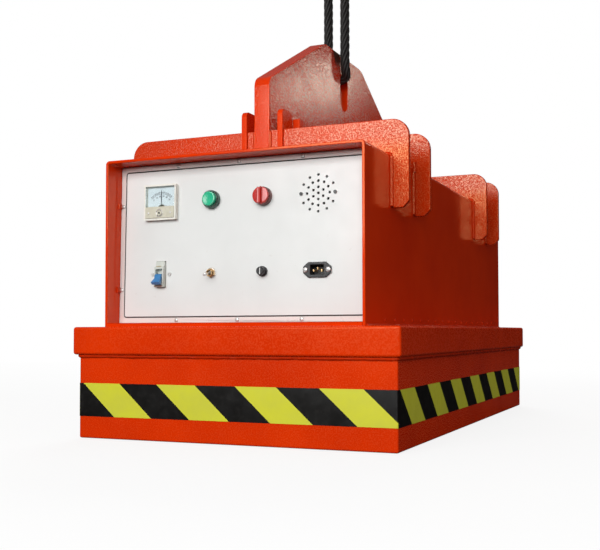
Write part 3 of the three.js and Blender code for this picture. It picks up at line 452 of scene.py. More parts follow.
def merge(parts):
    """Joins bmeshes into one; the parts are freed."""
    total = bmesh.new()
    for part in parts:
        scratch = to_mesh("scratch", part)
        total.from_mesh(scratch)
        bpy.data.meshes.remove(scratch)
    return total


def copies(bm, places):
    """One bmesh that holds bm at each matrix; bm is freed."""
    moved = []
    for place in places:
        moved.append(bm.copy())
        moved[-1].transform(place)
    bm.free()
    return merge(moved)


def evaluated(made):
    """Shape of an object after its modifiers, as a bmesh."""
    depsgraph = bpy.context.evaluated_depsgraph_get()
    mesh = bpy.data.meshes.new_from_object(made.evaluated_get(depsgraph))
    bm = bmesh.new()
    bm.from_mesh(mesh)
    bpy.data.meshes.remove(mesh)
    return bm


def subtract(body, tool):
    """Exact boolean body minus tool; both bmeshes are freed."""
    objects = []
    for bm in (body, tool):
        bmesh.ops.recalc_face_normals(bm, faces=bm.faces)
        objects.append(add_object("scratch", to_mesh("scratch", bm)))
    keep, cutter = objects
    cut = keep.modifiers.new("cut", "BOOLEAN")
    cut.operation, cut.solver, cut.object = "DIFFERENCE", "EXACT", cutter
    result = evaluated(keep)
    for made in objects:
        bpy.data.objects.remove(made)
    return result


def prism(outline, y0_mm, y1_mm):
    """Extruded bmesh: the outline lists (x, z) in mm and the prism spans y0 to y1."""
    bm = bmesh.new()
    near = [bm.verts.new((x * MM, y0_mm * MM, z * MM)) for x, z in outline]
    far = [bm.verts.new((x * MM, y1_mm * MM, z * MM)) for x, z in outline]
    bm.faces.new(near)
    bm.faces.new(list(reversed(far)))
    skin(bm, [(near, far)])
    return bm


def tube(points, radius, sides=8, closed=False, radius_at=None):
    """Round tube bmesh through points in metres. radius_at(i) scales the radius of ring i."""
    points = [Vector(p) for p in points]
    count = len(points)
    bm = bmesh.new()
    rings = []
    turn = [2 * math.pi * k / sides for k in range(sides)]
    side = (points[1] - points[0]).normalized().orthogonal().normalized()
    for i, point in enumerate(points):
        before = points[i - 1] if i > 0 or closed else point
        after = points[(i + 1) % count] if i + 1 < count or closed else point
        ahead = (after - before).normalized()
        side = (side - ahead * side.dot(ahead)).normalized()
        other = ahead.cross(side)
        size = radius * (radius_at(i) if radius_at else 1)
        offsets = [(side * math.cos(a) + other * math.sin(a)) * size for a in turn]
        rings.append([bm.verts.new(point + offset) for offset in offsets])
    pairs = list(zip(rings, rings[1:]))
    if closed:
        # the last ring meets the first one turned by the twist the frame picked up on the way
        twist = min(range(sides), key=lambda k: (rings[0][k].co - rings[-1][0].co).length)
        pairs.append((rings[-1], rings[0][twist:] + rings[0][:twist]))
    else:
        bm.faces.new(list(reversed(rings[0])))
        bm.faces.new(rings[-1])
    skin(bm, pairs)
    return bm


def resample(points, step, closed=False):
    """Evenly spaced points along a polyline."""
    corners = [Vector(p) for p in points] + ([Vector(points[0])] if closed else [])
    out = []
    for a, b in zip(corners, corners[1:]):
        pieces = max(1, round((b - a).length / step))
        out += [a.lerp(b, i / pieces) for i in range(pieces)]
    return out if closed else out + [corners[-1]]


def arc(centre, radius, start_deg, end_deg, steps, up=(0, 0, 1)):
    """Points of an arc round centre, in metres; the angle turns from +X towards up."""
    out = []
    for i in range(steps + 1):
        angle = math.radians(start_deg + (end_deg - start_deg) * i / steps)
        offset = Vector((1, 0, 0)) * math.cos(angle) + Vector(up) * math.sin(angle)
        out.append(Vector(centre) + radius * offset)
    return out


def weld_bead(points, radius_mm, closed=False):
    """Fillet weld along a path: a half-sunk tube with rippled, slightly wandering beads."""
    ripple_mm, rings_per_ripple, wander = 4.2, 4, 0.14
    radius = radius_mm * MM
    path = resample(points, ripple_mm * MM / rings_per_ripple, closed)
    wandering = [p + noise.noise_vector(p * 90) * radius * wander for p in path]

    def size(i):
        ripple = 0.09 * (1 - abs(((i / rings_per_ripple) % 1) * 2 - 1)) ** 0.6
        return 0.93 + ripple + 0.10 * noise.noise(path[i] * 60)

    return tube(wandering, radius, 8, closed, size)


def ring_path(half_x, half_y, z):
    """Closed path round a rectangle with small round corners, metres."""
    corner = 3 * MM
    x, y = half_x - corner, half_y - corner
    path = []
    for cx, cy, start in ((x, y, 0), (-x, y, 90), (-x, -y, 180), (x, -y, 270)):
        path += arc((cx, cy, z), corner, start, start + 90, 4, (0, 1, 0))
    return path


# ---------- panel frame of reference ----------

def panel_matrix():
    """Panel coordinates to the row frame: x across, y into the panel, z up along its face."""
    inward = Vector(JOINTS["green_button_press"]["axis"]).normalized()
    across = Vector((1, 0, 0))
    up = across.cross(inward)
    low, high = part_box("panel_frame")
    turn = Matrix((across, inward, up)).transposed().to_4x4()
    flat = [turn.inverted() @ v.co for v in NODES["panel_frame"].data.vertices]
    face = min(p.y for p in flat)
    middle = turn.inverted() @ ((low + high) / 2)
    return Matrix.Translation(turn @ Vector((middle.x, face, middle.z))) @ turn


PANEL = panel_matrix()


def panel_box(node):
    """Lowest and highest corner of a CAD node in panel coordinates."""
    turn = PANEL.inverted()
    places = np.array([turn @ v.co for v in NODES[node].data.vertices]) / MM
    return Vector(places.min(0)), Vector(places.max(0))


def panel_centre(node):
    """Middle of a CAD node on the panel face."""
    low, high = panel_box(node)
    return Vector(((low.x + high.x) / 2, 0, (low.z + high.z) / 2))


def panel_pivot(joint):
    """Pivot of a joint in panel coordinates."""
    return (PANEL.inverted() @ Vector(JOINTS[joint]["pos_m"])) / MM


def on_panel(name, bm, material, centre=(0, 0, 0), node=None, **given):
    """Makes a piece from a bmesh that is built about a centre on the panel."""
    bm.transform(PANEL @ Matrix.Translation(Vector(centre) * MM))
    piece(name, bm, material, node, **given)


def pan_head(radius_mm, height_mm):
    """Domed screw head with a cross recess; its flat underside is at y = 0 and it stands towards -Y."""
    dome = [(0, -height_mm)]
    for i in range(1, 6):
        angle = math.radians(90 * i / 5)
        dome.append((radius_mm * math.sin(angle), -height_mm * (0.35 + 0.65 * math.cos(angle))))
    dome += [(radius_mm, 0), (0, 0)]
    arm, width, floor = 0.62 * radius_mm, 0.13 * radius_mm, -0.45 * height_mm
    cross = merge([block((-arm, -2 * height_mm, -width), (arm, floor, width)),
                   block((-width, -2.1 * height_mm, -arm), (width, floor, arm))])
    return subtract(lathe(dome, 24), cross)


def screws(name, places, radius_mm, height_mm):
    """Zinc screws at places on the panel."""
    spots = [Matrix.Translation(Vector(place) * MM) for place in places]
    on_panel(name, copies(pan_head(radius_mm, height_mm), spots), ZINC)


def either_side(node, reach_mm, y_mm=0):
    """Two places left and right of a node's centre."""
    return [panel_centre(node) + Vector((side * reach_mm, y_mm, 0)) for side in (-1, 1)]


# ---------- magnet base ----------

def build_base():
    hole_reach, longest_flat = 50 * MM, 10 * MM

    def outside(edge):
        """True on the yoke's outer edges, false on the edges of the lead's hole."""
        place = edge.verts[0].co
        return abs(place.x) > hole_reach or abs(place.y) > 9 * hole_reach

    def upright(edge):
        return abs(edge.verts[0].co.z - edge.verts[1].co.z) > longest_flat

    soften("outer_pole", 3, RED_PLATE)
    soften("top_yoke", 4.5, RED_PLATE, 4, outside)
    soften("hazard_tape", 3, TAPE, 3, upright, "hazard_tape_wrap")
    soften("centre_pole", 1.5, GROUND_STEEL)
    soften("base_cover", 0.6, GROUND_STEEL)
    corner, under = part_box("outer_pole")[1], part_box("top_yoke")[0].z
    seam = ring_path(corner.x, corner.y, under - 1.5 * MM)
    piece("yoke_weld", weld_bead(seam, 4.5, True), WELD_RED_WITH_PAINTED_SHADE)


# ---------- case ----------

def build_case():
    soften("case_shell", 1.2, RED_SHEET, 2, sharper_than=40)
    low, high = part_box("case_shell")
    front, rear = low.y + 5 * MM, high.y - 5 * MM
    beads = [weld_bead([(x, front, low.z), (x, rear, low.z)], 3.4) for x in (-high.x, high.x)]
    piece("case_floor_welds", merge(beads), WELD_RED_WITH_PAINTED_SHADE)

    # plug welds that hold the floor flange show as a row of dots just above the yoke
    first, pitch, count, height = -394 * MM, 50.2 * MM, 17, low.z + 10 * MM
    dots = []
    for side in (-1, 1):
        turn = Matrix.Rotation(math.radians(90 * side), 4, "Z")
        for i in range(count):
            centre = Vector((side * high.x, first + i * pitch, height))
            dots.append(Matrix.Translation(centre) @ turn)
    dome = lathe([(0, -1.3), (1.6, -1.15), (2.6, -0.6), (3.2, 0.4), (0, 0.4)], 14)
    piece("plug_welds", copies(dome, dots), WELD_RED_WITH_PAINTED_SHADE)


def build_rear():
    soften("rear_cover", 0.7, RED_SHEET, 2)
    low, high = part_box("rear_cover")
    face, middle, inset = high.y, (low.z + high.z) / 2, 9 * MM
    places = [(x * MM, z) for x in (-156, -52, 52, 156) for z in (low.z + inset, high.z - inset)]
    span = (high.z - low.z) / 2 - inset - 62 * MM
    for side in (-1, 1):
        places += [(side * (high.x - inset), middle + k * span) for k in (-1, 0, 1)]
    half_turn = Matrix.Rotation(math.pi, 4, "Z")
    heads = copies(pan_head(4.6, 2.9), [Matrix.Translation((x, face, z)) @ half_turn for x, z in places])
    washer = lathe([(2.6, 0), (5.6, 0), (5.6, 0.35), (2.6, 0.35)], 24)
    washers = copies(washer, [Matrix.Translation((x, face, z)) for x, z in places])
    piece("rear_screws", merge([heads, washers]), ZINC)
    paint("rear_frame_and_screws", ZINC)

    # pressed louvres over the vent slots
    pitch, rows, below_slot = 16 * MM, 6, 4 * MM
    hoods = []
    for x in (-110 * MM, 110 * MM):
        for row in range(rows):
            z = middle + (row - (rows - 1) / 2) * pitch
            hoods.append(Matrix.Translation((x, face, z - below_slot)))
    hood = louvre(length=96 * MM, rise=11 * MM, depth=6 * MM, sheet=1.2 * MM)
    piece("rear_louvres", copies(hood, hoods), RED_SHEET)


def louvre(length, rise, depth, sheet):
    """Quarter-round hood, open below, with its ends pressed in."""
    bm = bmesh.new()
    across, steps = 14, 8
    skins = []
    for skin in (0.0, sheet):
        grid = []
        for i in range(across + 1):
            u = 2 * i / across - 1
            fade = math.sqrt(max(0.0, 1 - abs(u) ** 6))
            row = []
            for k in range(steps + 1):
                angle = math.radians(90 * k / steps)
                y = max(0.0, fade * (depth - skin) * math.cos(angle)) + 0.02 * MM
                z = rise * math.sin(angle) - (skin if k == steps else 0)
                row.append(bm.verts.new((u * (length / 2 - skin), y, z)))
            grid.append(row)
        skins.append(grid)
    outer, inner = skins
    for grid in skins:
        for i in range(across):
            for k in range(steps):
                bm.faces.new((grid[i][k], grid[i + 1][k], grid[i + 1][k + 1], grid[i][k + 1]))
    rim = [(i, 0) for i in range(across + 1)] + [(across, k) for k in range(1, steps + 1)]
    rim += [(i, steps) for i in range(across - 1, -1, -1)] + [(0, k) for k in range(steps - 1, 0, -1)]
    for (i, k), (m, n) in zip(rim, rim[1:] + rim[:1]):
        bm.faces.new((outer[i][k], outer[m][n], inner[m][n], inner[i][k]))
    return bm


# ---------- control panel ----------

SIDE_SCREWS_Z = (-80, 68)


def panel_screw_places():
    outer, inner = panel_box("panel_frame")[1], panel_box("panel_gasket")[1]
    edge_x, edge_z = (outer.x + inner.x) / 2, (outer.z + inner.z) / 2
    places = [(x, 0, side * edge_z) for x in (-118, 0, 118) for side in (-1, 1)]
    return places + [(side * edge_x, 0, z) for side in (-1, 1) for z in SIDE_SCREWS_Z]


def build_panel():
    soften("panel_frame", 0.5, BORDER_GREY_WITH_PAINTED_PINK, 2)
    soften("panel_gasket", 0.3, SEAL, 2)
    soften("control_panel", 0.4, PANEL_WHITE, 2, sharper_than=50)
    low, high = panel_box("panel_seat_and_screws")
    gap, leg = 0.3, 19
    face = panel_box("panel_frame")[1].y + gap
    strips = []
    for x0, z0, x1, z1 in (
            (low.x, high.z - leg, high.x, high.z),
            (low.x, low.z, high.x, low.z + leg),
            (low.x, low.z + leg, low.x + leg, high.z - leg),
            (high.x - leg, low.z + leg, high.x, high.z - leg)):
        strips.append(block((x0, face, z0), (x1, high.y, z1), 0.4, 2))
    on_panel("panel_seat", merge(strips), RED_SHEET, node="panel_seat_and_screws")
    screws("panel_screws", panel_screw_places(), 3.7, 2.3)
    wall, thick, half, deep = low.x - 1.5, 3.5, 5, 9
    clips = [block((wall, -deep, z - half), (wall + thick, 0, z + half), 0.9) for z in SIDE_SCREWS_Z]
    on_panel("panel_clips", merge(clips), WELD_RED_WITH_PAINTED_SHADE)


DIAL_SWEEP = 45  # degrees to either side of straight up
TICKS_FROM_MM = 25.8
PRINT_MM = 0.08


def arc_band(radius_mm, width_mm, y_mm):
    """Flat printed band along the dial's arc about the origin."""
    steps = 40
    outer, inner = radius_mm + width_mm / 2, radius_mm - width_mm / 2
    outline = []
    for r, order in ((outer, range(steps + 1)), (inner, range(steps, -1, -1))):
        for i in order:
            a = math.radians(DIAL_SWEEP * (2 * i / steps - 1))
            outline.append((r * math.sin(a), r * math.cos(a)))
    return prism(outline, y_mm - PRINT_MM, y_mm)


def digits(text, size_mm):
    """Flat digits as a bmesh in the XZ plane, centred on the origin."""
    curve = bpy.data.curves.new("digits", "FONT")
    curve.body, curve.size = text, size_mm * MM
    curve.align_x, curve.align_y = "CENTER", "CENTER"
    curve.extrude = PRINT_MM / 2 * MM
    holder = add_object("digits", curve)
    bm = evaluated(holder)
    bpy.data.objects.remove(holder)
    bm.transform(Matrix.Rotation(math.radians(90), 4, "X"))
    return bm


def build_scale(pivot):
    """Printed arcs, ticks and numbers, which lie on the dial card."""
    card = panel_box("meter_dial")[0].y
    upper_arc, arc_width, line_width = 29.5, 0.35, 0.25
    marks = [arc_band(upper_arc, arc_width, card), arc_band(TICKS_FROM_MM, line_width, card)]
    ticks, per_number, bold, fine = 40, 8, 0.22, 0.12
    long, medium, short = 31.0, 30.2, 29.4
    for i in range(ticks + 1):
        numbered, halfway = i % per_number == 0, i % per_number == per_number // 2
        half = bold if numbered else fine
        reach = long if numbered else medium if halfway else short
        outline = [(-half, TICKS_FROM_MM), (half, TICKS_FROM_MM), (half, reach), (-half, reach)]
        tick = prism(outline, card - PRINT_MM, card)
        tick.transform(Matrix.Rotation(math.radians(DIAL_SWEEP * (2 * i / ticks - 1)), 4, "Y"))
        marks.append(tick)
    reach, size = 22.2, 4.2
    for i, label in enumerate(("0", "10", "20", "30", "40", "50")):
        angle = math.radians(DIAL_SWEEP * (2 * i / 5 - 1))
        number = digits(label, size)
        place = Vector((reach * math.sin(angle), card - PRINT_MM / 2, reach * math.cos(angle)))
        number.transform(Matrix.Translation(place * MM))
        marks.append(number)
    on_panel("meter_scale", merge(marks), INK, pivot, slot="meter_scale")


def build_meter():
    front, middle = panel_box("meter_case")[0].y, panel_centre("meter_case")
    pivot = panel_pivot("needle_swing") * Vector((1, 0, 1))
    soften("meter_case", 0.8, CREAM, sharper_than=50)
    soften("meter_dial", 0.15, DIAL_CARD, 1, sharper_than=50)
    build_scale(pivot)

    low, high = panel_box("meter_needle")
    blade_y = (low.y + 0.4, low.y + 1.0)
    tip = high.z - pivot.z
    blade = prism([(-0.4, -6), (0.4, -6), (0.3, 9), (0.55, 20), (0.1, tip), (-0.1, tip), (-0.55, 20),
                   (-0.3, 9)], *blade_y)
    hub = lathe([(0, low.y + 0.2), (2.1, low.y + 0.2), (2.1, 3.5), (0, 3.5)], 24)
    weight = block((-1.6, blade_y[0], -7.5), (1.6, blade_y[1], -4.5), 0.2)
    on_panel("meter_needle_fine", merge([blade, hub, weight]), INK, pivot, "meter_needle")

    # clear front over the whole bezel, and a cream strip behind its lower part
    low, high = panel_box("meter_window")
    strip_top, gap = low.z + 20, 0.6
    pane = block((low.x, low.y + 0.2, strip_top + gap), (high.x, low.y + 2.0, high.z), 0.5)
    on_panel("meter_pane", pane, PANE, node="meter_window")
    zero = panel_centre("meter_zero_screw")
    bore = lathe([(0, -14), (5.3, -14), (5.3, 2), (0, 2)], 40)
    bore.transform(Matrix.Translation(zero * MM))
    strip = subtract(block(low, (high.x, high.y, strip_top), 0.8), bore)
    on_panel("meter_lower_strip", strip, AMBER, slot="instrument_case")
    collar = lathe([(5.5, front - 1.6), (6.1, front - 1.9), (6.7, front - 1.5), (6.7, front - 0.6),
                    (5.5, front - 0.6)], 40)
    on_panel("meter_hub_collar", collar, ZINC, zero)
    for name, side in (("meter_screw_left", -1), ("meter_screw_right", 1)):
        on_panel(name, pan_head(1.9, 1.0), ZINC, (middle.x + side * 22, low.y + 0.1, low.z + 9))

    low, high = panel_box("meter_zero_screw")
    top, root = low.y, high.y
    plug = lathe([(0, top), (4.2, top), (4.9, top + 0.7), (4.9, root), (0, root)], 40)
    plug = subtract(plug, block((-1.7, top - 1, -1.7), (1.7, top + 1.4, 1.7)))
    on_panel("meter_zero_screw_fine", plug, AMBER, zero, "meter_zero_screw")
    insert = block((-1.6, top + 0.5, -1.6), (1.6, top + 1.4, 1.6), 0.2)
    slit = block((-1.9, top, -0.4), (1.9, top + 1.0, 0.4))
    on_panel("meter_zero_slot", subtract(insert, slit), BLACK, zero, body="zero_screw")


def build_buttons():
    for node, material in (("start_button_bezel", RING_DARK), ("selector_bezel", RING_RED)):
        low, high = panel_box(node)
        top, back = low.y, high.y
        ring = lathe([(12.75, top + 0.3), (13.1, top), (14.3, top), (15.0, top + 0.8), (15.5, top + 2.2),
                      (15.6, top + 3), (15.6, -1.1), (15.2, -0.5), (15.6, -0.3), (11.2, -0.3), (11.2, back),
                      (9.4, back), (9.4, -2), (12.75, -2)], 64)
        on_panel(node + "_fine", ring, material, panel_centre(node), node)

    low, high = panel_box("start_button")
    top, back = low.y, high.y
    cap = lathe([(0, top + 0.9), (8.6, top + 0.75), (9.4, top + 0.2), (10.4, top), (11.6, top + 0.35),
                 (12.2, top + 1.3), (12.3, top + 2.4), (12.3, -7), (9, -6.8), (9, back), (0, back)], 64)
    on_panel("start_button_cap", cap, GREEN, panel_centre("start_button"), "start_button")

    low, high = panel_box("selector_knob")
    top, back = low.y + 0.1, high.y
    disc = lathe([(0, -15), (12.4, -15), (13.8, -14.6), (14.5, -13.6), (14.6, -12.4), (14.6, -10.9),
                  (14.2, -10.5), (12.2, -10.4), (12.2, -3), (9, -3), (9, back), (0, back)], 64)
    reach = 12.9
    bar = prism([(-3.6, -14.4), (3.6, -14.4), (2.8, top), (-2.8, top)], -reach, reach)
    bar.transform(Matrix(((1, 0, 0, 0), (0, 0, 1, 0), (0, 1, 0, 0), (0, 0, 0, 1))))  # swaps Y and Z
    grip = merge([disc, round_edges(bar, 0.9)])
    on_panel("selector_grip", grip, RED_CAP, panel_centre("selector_bezel"), "selector_knob")


def build_sounder():
    soften("sounder", 0.4, BLACK, 2, sharper_than=50)
    screws("sounder_screws", either_side("sounder", 30), 3.1, 2.1)


def build_breaker():
    soften("breaker_case", 0.9, BREAKER_GREY)
    soften("breaker_toggle", 0.7, BLUE, sharper_than=40)
    soften("breaker_clamp", 0.3, ZINC, 2, sharper_than=50)
    low, high = panel_box("breaker_case")
    back, slot_z = low.y + 0.4, panel_centre("breaker_case").z + 12.8
    # a thin reddish-brown strip along the breaker's lower end
    mark = block((low.x + 0.6, low.y - 0.5, low.z + 0.8), (high.x - 0.6, back, low.z + 2.6), 0.2)
    on_panel("breaker_mark", mark, REDDISH_BROWN)
    window = block((low.x + 4.5, low.y - 0.3, slot_z), (high.x - 4.5, back, slot_z + 1.2), 0.15)
    on_panel("breaker_label_slot", window, BEIGE)
    middle, level = panel_centre("breaker_case").x, panel_centre("breaker_clamp").z
    screws("breaker_screws", [(middle + side * 17, 0, level) for side in (-1, 1)], 3.3, 2.3)


def build_toggle_switch():
    low, high = panel_box("toggle_switch_body")
    centre = panel_centre("toggle_switch_nut")
    crest, root, pitch = 5.9, 5.55, 0.7
    bush = [(4.2, low.y)]
    y = low.y
    while y < 2.2:
        bush += [(crest, y), (root, y + pitch / 2)]
        y += pitch
    bush = lathe(bush + [(crest, 2.4), (4.2, 2.4)], 40)
    body = block((-6.5, 4.2, -10), (6.5, high.y, 10), 0.6)
    on_panel("toggle_switch_bush", merge([bush, body]), BRASS, centre, "toggle_switch_body")
    soften("toggle_switch_nut", 0.4, BRASS, 2, sharper_than=40)
    lock = lathe([(6.3, -0.9), (9.6, -0.9), (9.8, -0.3), (6.3, -0.3)])
    on_panel("toggle_switch_washer", lock, ZINC, centre)

    pivot, lowest = panel_pivot("switch_flip"), panel_box("toggle_switch_lever")[0].z
    lever = lathe([(0, 2.6), (2.2, 2.4), (3.2, 1.0), (3.35, 0), (2.9, -1.6), (1.75, -3.0), (1.8, -6),
                   (2.2, -12), (2.75, -18), (2.9, -20), (2.6, -21.3), (1.6, -22), (0, -22.2)], 32)
    tip_radius, length = 2.85, 22
    droop = math.asin((pivot.z - lowest - tip_radius) / length)
    lever.transform(Matrix.Rotation(droop, 4, "X"))
    on_panel("toggle_lever", lever, ZINC, pivot, "toggle_switch_lever")


def build_fuse():
    centre, back = panel_centre("fuse_holder"), panel_box("fuse_holder")[1].y
    holder = lathe([(4.6, -5), (8.0, -5), (8.6, -4.4), (8.6, -0.3), (6.3, -0.3), (6.3, back), (0, back),
                    (0, back - 3), (4.6, back - 3)])
    on_panel("fuse_holder_fine", holder, BLACK, centre, "fuse_holder")
    top = panel_box("fuse_cap")[0].y
    cap = lathe([(0, top), (5.9, top), (6.8, top + 0.8), (7, top + 1.6), (7, -5.3), (4.2, -5.3), (4.2, -1),
                 (0, -1)])
    cap = subtract(cap, block((-1, top - 1, -5.4), (1, top + 1.5, 5.4)))
    on_panel("fuse_cap_fine", cap, BLACK, centre, "fuse_cap")
    contact = block((-0.8, top + 0.9, -5.2), (0.8, top + 1.5, 5.2), 0.15)
    on_panel("fuse_cap_contact", contact, ZINC, centre, body="fuse_bayonet")


def build_inlet():
    soften("power_inlet", 0.7, BLACK, sharper_than=40)
    soften("inlet_clamp_and_screws", 0.3, ZINC, 2, sharper_than=50)
    half_x, half_z = 1.05, 2.05
    pins = []
    for x, z in ((-7, -1), (0, 2), (7, -1)):
        pins.append(block((x - half_x, -0.7, z - half_z), (x + half_x, 14, z + half_z), 0.4))
    on_panel("inlet_pins", merge(pins), BRASS, panel_centre("power_inlet"))
    screws("inlet_screws", either_side("power_inlet", 20, -4), 4.3, 2.4)


# ---------- suspension ----------

def saddle_seam(saddle, y):
    """Path of the fillet between a saddle's inner edge and the case, on one face of the saddle."""
    low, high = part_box(saddle)
    side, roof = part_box("case_shell")[1].x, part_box("case_shell")[1].z
    r = 7 * MM
    path = [(side, y, low.z + 3 * MM), (side, y, roof - r)]
    path += arc((side - r, y, roof - r), r, 0, 90, 5)[1:] + arc((-side + r, y, roof - r), r, 90, 180, 5)
    return path + [(-side, y, low.z + 3 * MM)]


def build_suspension():
    saddles = ("saddle_1", "saddle_2", "saddle_3", "saddle_4")
    ears = ("front_ear_left", "front_ear_right", "rear_ear_left", "rear_ear_right")
    wall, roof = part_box("case_shell")[1].x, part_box("case_shell")[1].z
    for node in saddles:
        soften(node, 1.6, SADDLE_RED_WITH_PAINTED_SHADE)
        low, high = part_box(node)
        beads = [weld_bead(saddle_seam(node, y), 4.6) for y in (low.y + 0.5 * MM, high.y - 0.5 * MM)]
        if node == "saddle_2":  # a drip of weld on the case wall in front of it
            x, y, top, end = wall + 2.5 * MM, low.y - 1.5 * MM, 489 * MM, 470 * MM
            beads.append(weld_bead([(x, y, top), (x, y, end)], 3.6))
        piece(node + "_welds", merge(beads), WELD_RED_WITH_PAINTED_SHADE)
    soften("main_lug", 2.4, RED_LUG, sharper_than=40)
    for node in ears:
        soften(node, 1.6, RED_EAR, sharper_than=40)
    soften("guide_post", 2.2, RED_EAR)

    low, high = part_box("main_lug")
    beads = [weld_bead([(x, low.y, roof), (x, high.y, roof)], 4.5) for x in (-high.x, high.x)]
    for saddle in saddles:
        near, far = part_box(saddle)
        for x in (low.x, high.x):
            for y in (near.y, far.y):
                inside = min(max(y, low.y + 2 * MM), high.y - 2 * MM)
                beads.append(weld_bead([(x, inside, roof), (x, inside, far.z - 2 * MM)], 3.6))
    for node in ears + ("guide_post",):
        near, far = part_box(node)
        for x in (near.x, far.x):
            beads.append(weld_bead([(x, near.y, roof), (x, far.y, roof)], 2.6))
    piece("lug_welds", merge(beads), WELD_RED_WITH_PAINTED_SHADE)


# ---------- sling ----------

def smooth_loop(points, per_span=16):
    """Closed Catmull-Rom curve through a list of vectors."""
    count, out = len(points), []
    for i in range(count):
        p0, p1, p2, p3 = (points[(i + k) % count] for k in (-1, 0, 1, 2))
        for k in range(per_span):
            t = k / per_span
            out.append(0.5 * ((2 * p1) + (p2 - p0) * t + (2 * p0 - 5 * p1 + 4 * p2 - p3) * t * t
                              + (3 * p1 - p0 - 3 * p2 + p3) * t ** 3))
    return out


def even(points, count):
    """The closed polyline resampled to count even steps, and its length."""
    data = np.array([tuple(p) for p in points + points[:1]])
    steps = np.linalg.norm(np.diff(data, axis=0), axis=1)
    along = np.concatenate([[0], np.cumsum(steps)])
    wanted = np.linspace(0, along[-1], count, endpoint=False)
    return [Vector([np.interp(w, along, data[:, axis]) for axis in range(3)]) for w in wanted], along[-1]


def build_sling():
    """Endless rope through the lug's slot: laid strands round a core."""
    radius, side, front, rear = 10.0, 25.8, -22.0, 13.0
    slot_top, top = 735.0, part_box("sling")[1].z / MM
    low = slot_top - radius - 5
    route = [
        (side, front, 880), (side, front, 800), (side, front, low + 40), (side, front * 0.85, low + 17),
        (side - 2, front * 0.5, low + 5), (10, front * 0.25, low), (-10, rear * 0.3, low),
        (-side + 2, rear * 0.6, low + 5), (-side, rear, low + 17), (-side, rear, low + 40),
        (-side, rear, 800), (-side, rear, 880), (-side, rear, top - 60), (-side + 9, rear * 0.6, top - 24),
        (0, -2, top - radius), (side - 9, front * 0.6, top - 24), (side, front, top - 60),
    ]
    count, strands, sides = 300, 6, 10
    lay, core_radius, strand_radius = 95 * MM, 5 * MM, 3.5 * MM
    spiral = radius * MM - strand_radius
    path, length = even(smooth_loop([Vector(p) * MM for p in route]), count)
    turns = max(1, round(length / lay))

    def tangent(i):
        return (path[(i + 1) % count] - path[i - 1]).normalized()

    frames = []
    across = (path[1] - path[0]).normalized().orthogonal().normalized()
    for i in range(count):
        ahead = tangent(i)
        across = (across - ahead * across.dot(ahead)).normalized()
        frames.append((across.copy(), ahead.cross(across)))
    closing = across - tangent(0) * across.dot(tangent(0))
    # the frame comes round turned by drift, and the strands take it back bit by bit
    drift = math.atan2(closing.dot(frames[0][1]), closing.dot(frames[0][0]))
    parts = [tube(path, core_radius, sides, True)]
    for strand in range(strands):
        points = []
        for i, (a, b) in enumerate(frames):
            share = i / count
            angle = 2 * math.pi * (turns * share + strand / strands) - drift * share
            points.append(path[i] + (a * math.cos(angle) + b * math.sin(angle)) * spiral)
        parts.append(tube(points, strand_radius, sides, True))
    piece("sling_rope", merge(parts), ROPE, "sling", crease=60)


# ---------- equipment inside the case ----------

def finish_inside():
    """Nodes that only show through the louvres keep their CAD shape and get real materials."""
    finishes = (
        (WINDING, "excitation_coil"), (RED_SHEET, "case_floor"), (ZINC, "fuse_link", "battery_charger"),
        (GREY_SHEET, "battery_tray", "battery_clamp", "board_shelf"), (BLACK, "magnet_contactor"),
        (COPPER, "battery_link_1", "battery_link_2"), (BATTERY_GREY, "battery_1", "battery_2", "battery_3"),
        (BEIGE, "terminal_block"), (BOARD_GREEN, "control_board"), (ROPE, "magnet_lead"),
    )
    for material, *nodes in finishes:
        for node in nodes:
            paint(node, material)


# ---------- stage ----------

def area_light(name, place, target, size, watts, colour=(1, 1, 1), mirrored=True):
    data = bpy.data.lights.new(name, "AREA")
    data.shape, data.size, data.size_y = "RECTANGLE", *size
    data.energy, data.color = watts, colour
    lamp = add_object(name, data)
    lamp.location = place
    lamp.rotation_euler = (Vector(target) - Vector(place)).to_track_quat("-Z", "Z").to_euler()
    lamp.visible_camera = False
    lamp.visible_glossy = mirrored


def build_floor():
    """Pale floor that glows to the camera and stays dark in the paint's reflections."""
    r = Recipe("studio_floor")
    away = r.add("VectorMath", {0: r.place}, operation="LENGTH").outputs["Value"]
    grain = r.mix(r.noise(300, 3), (0.90, 0.90, 0.895), (0.86, 0.86, 0.855))
    rays = r.add("LightPath").outputs
    seen = r.mix(rays["Is Camera Ray"], (0.10, 0.09, 0.085), grain)
    seen = r.mix(rays["Is Glossy Ray"], seen, (0.02, 0.018, 0.018))
    matt = r.add("BsdfDiffuse", {"Color": seen}).outputs[0]
    glow = r.add("Emission", {"Color": (1, 1, 1, 1), "Strength": 1.0}).outputs[0]
    share = r.times(r.remap(away, 1.2, 4.5, 0.84, 1), rays["Is Camera Ray"])
    material = r.close(r.add("MixShader", {0: share, 1: matt, 2: glow}).outputs[0])
    bm = bmesh.new()
    bmesh.ops.create_grid(bm, x_segments=8, y_segments=8, size=40)
    floor = add_object("studio_floor", to_mesh("studio_floor", bm))
    floor.data.materials.append(material)
    floor.location.z = -1 * MM


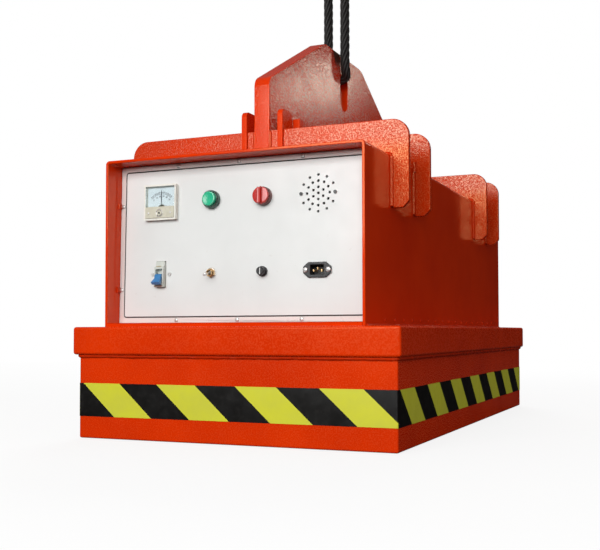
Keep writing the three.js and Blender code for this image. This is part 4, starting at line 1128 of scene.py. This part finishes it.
def build_world():
    """White to the camera, an even grey for soft light, and a dark horizon in reflections."""
    world = bpy.data.worlds.new("studio")
    world.use_nodes = True
    bpy.context.scene.world = world
    tree = world.node_tree
    tree.nodes.clear()
    direction = add_node(tree, "TexCoord").outputs["Generated"]
    height = add_node(tree, "SeparateXYZ", {0: direction}).outputs["Z"]
    sky = {"Value": height, "From Min": 0.2, "From Max": 0.5, "To Min": 0.006, "To Max": 0.12}
    mirrored = add_node(tree, "MapRange", sky).outputs[0]
    rays = add_node(tree, "LightPath").outputs
    strength = 0.30
    for ray, value in (("Is Glossy Ray", mirrored), ("Is Camera Ray", 1.0)):
        strength = add_node(tree, "Mix", {0: rays[ray], 2: strength, 3: value}).outputs[0]
    background = add_node(tree, "Background", {"Color": (1, 1, 1, 1), "Strength": strength})
    add_node(tree, "OutputWorld", {"Surface": background.outputs[0]})


def build_lights():
    """A wide window in front, a small one behind, and two fills that the paint does not mirror."""
    area_light("key", (0.25, -3.0, 1.30), (0.25, 0, 1.0), (2.9, 1.4), 87)
    area_light("window_rear_right", (1.34, 3.0, 1.61), (1.34, 0, 1.61), (0.36, 0.24), 1.5, (1.0, 0.94, 0.82))
    area_light("rear_fill", (-1.0, 3.6, 3.2), (0, 0.3, 0.3), (2.5, 2.5), 130, mirrored=False)
    area_light("side_fill", (4.5, 0.4, 1.8), (0, 0, 0.4), (2.0, 2.0), 16, mirrored=False)


def build_camera():
    """The viewpoint: low, in front and to the right, with the lens axis off the picture's middle."""
    place = (0.72033, -1.80826, 0.18370)
    yaw, pitch, roll = -0.39082, 0.03545, -0.00216
    ahead = Vector((math.sin(yaw) * math.cos(pitch), math.cos(yaw) * math.cos(pitch), math.sin(pitch)))
    right = ahead.cross(Vector((0, 0, 1))).normalized()
    up = right.cross(ahead)
    data = bpy.data.cameras.new("camera")
    data.sensor_width, data.lens = 36, 54.87
    data.shift_x, data.shift_y = -0.0456, 0.0406
    data.clip_start, data.clip_end = 0.05, 200
    camera = add_object("camera", data)
    turn = Matrix((right, up, -ahead)).transposed().to_4x4()
    camera.matrix_world = Matrix.Translation(place) @ turn @ Matrix.Rotation(roll, 4, "Z")
    bpy.context.scene.camera = camera


for build in (build_base, build_case, build_rear, build_panel, build_meter, build_buttons, build_sounder,
              build_breaker, build_toggle_switch, build_fuse, build_inlet, build_suspension, build_sling,
              finish_inside, build_floor, build_world, build_lights, build_camera):
    build()
bpy.context.scene.view_settings.view_transform = "Standard"
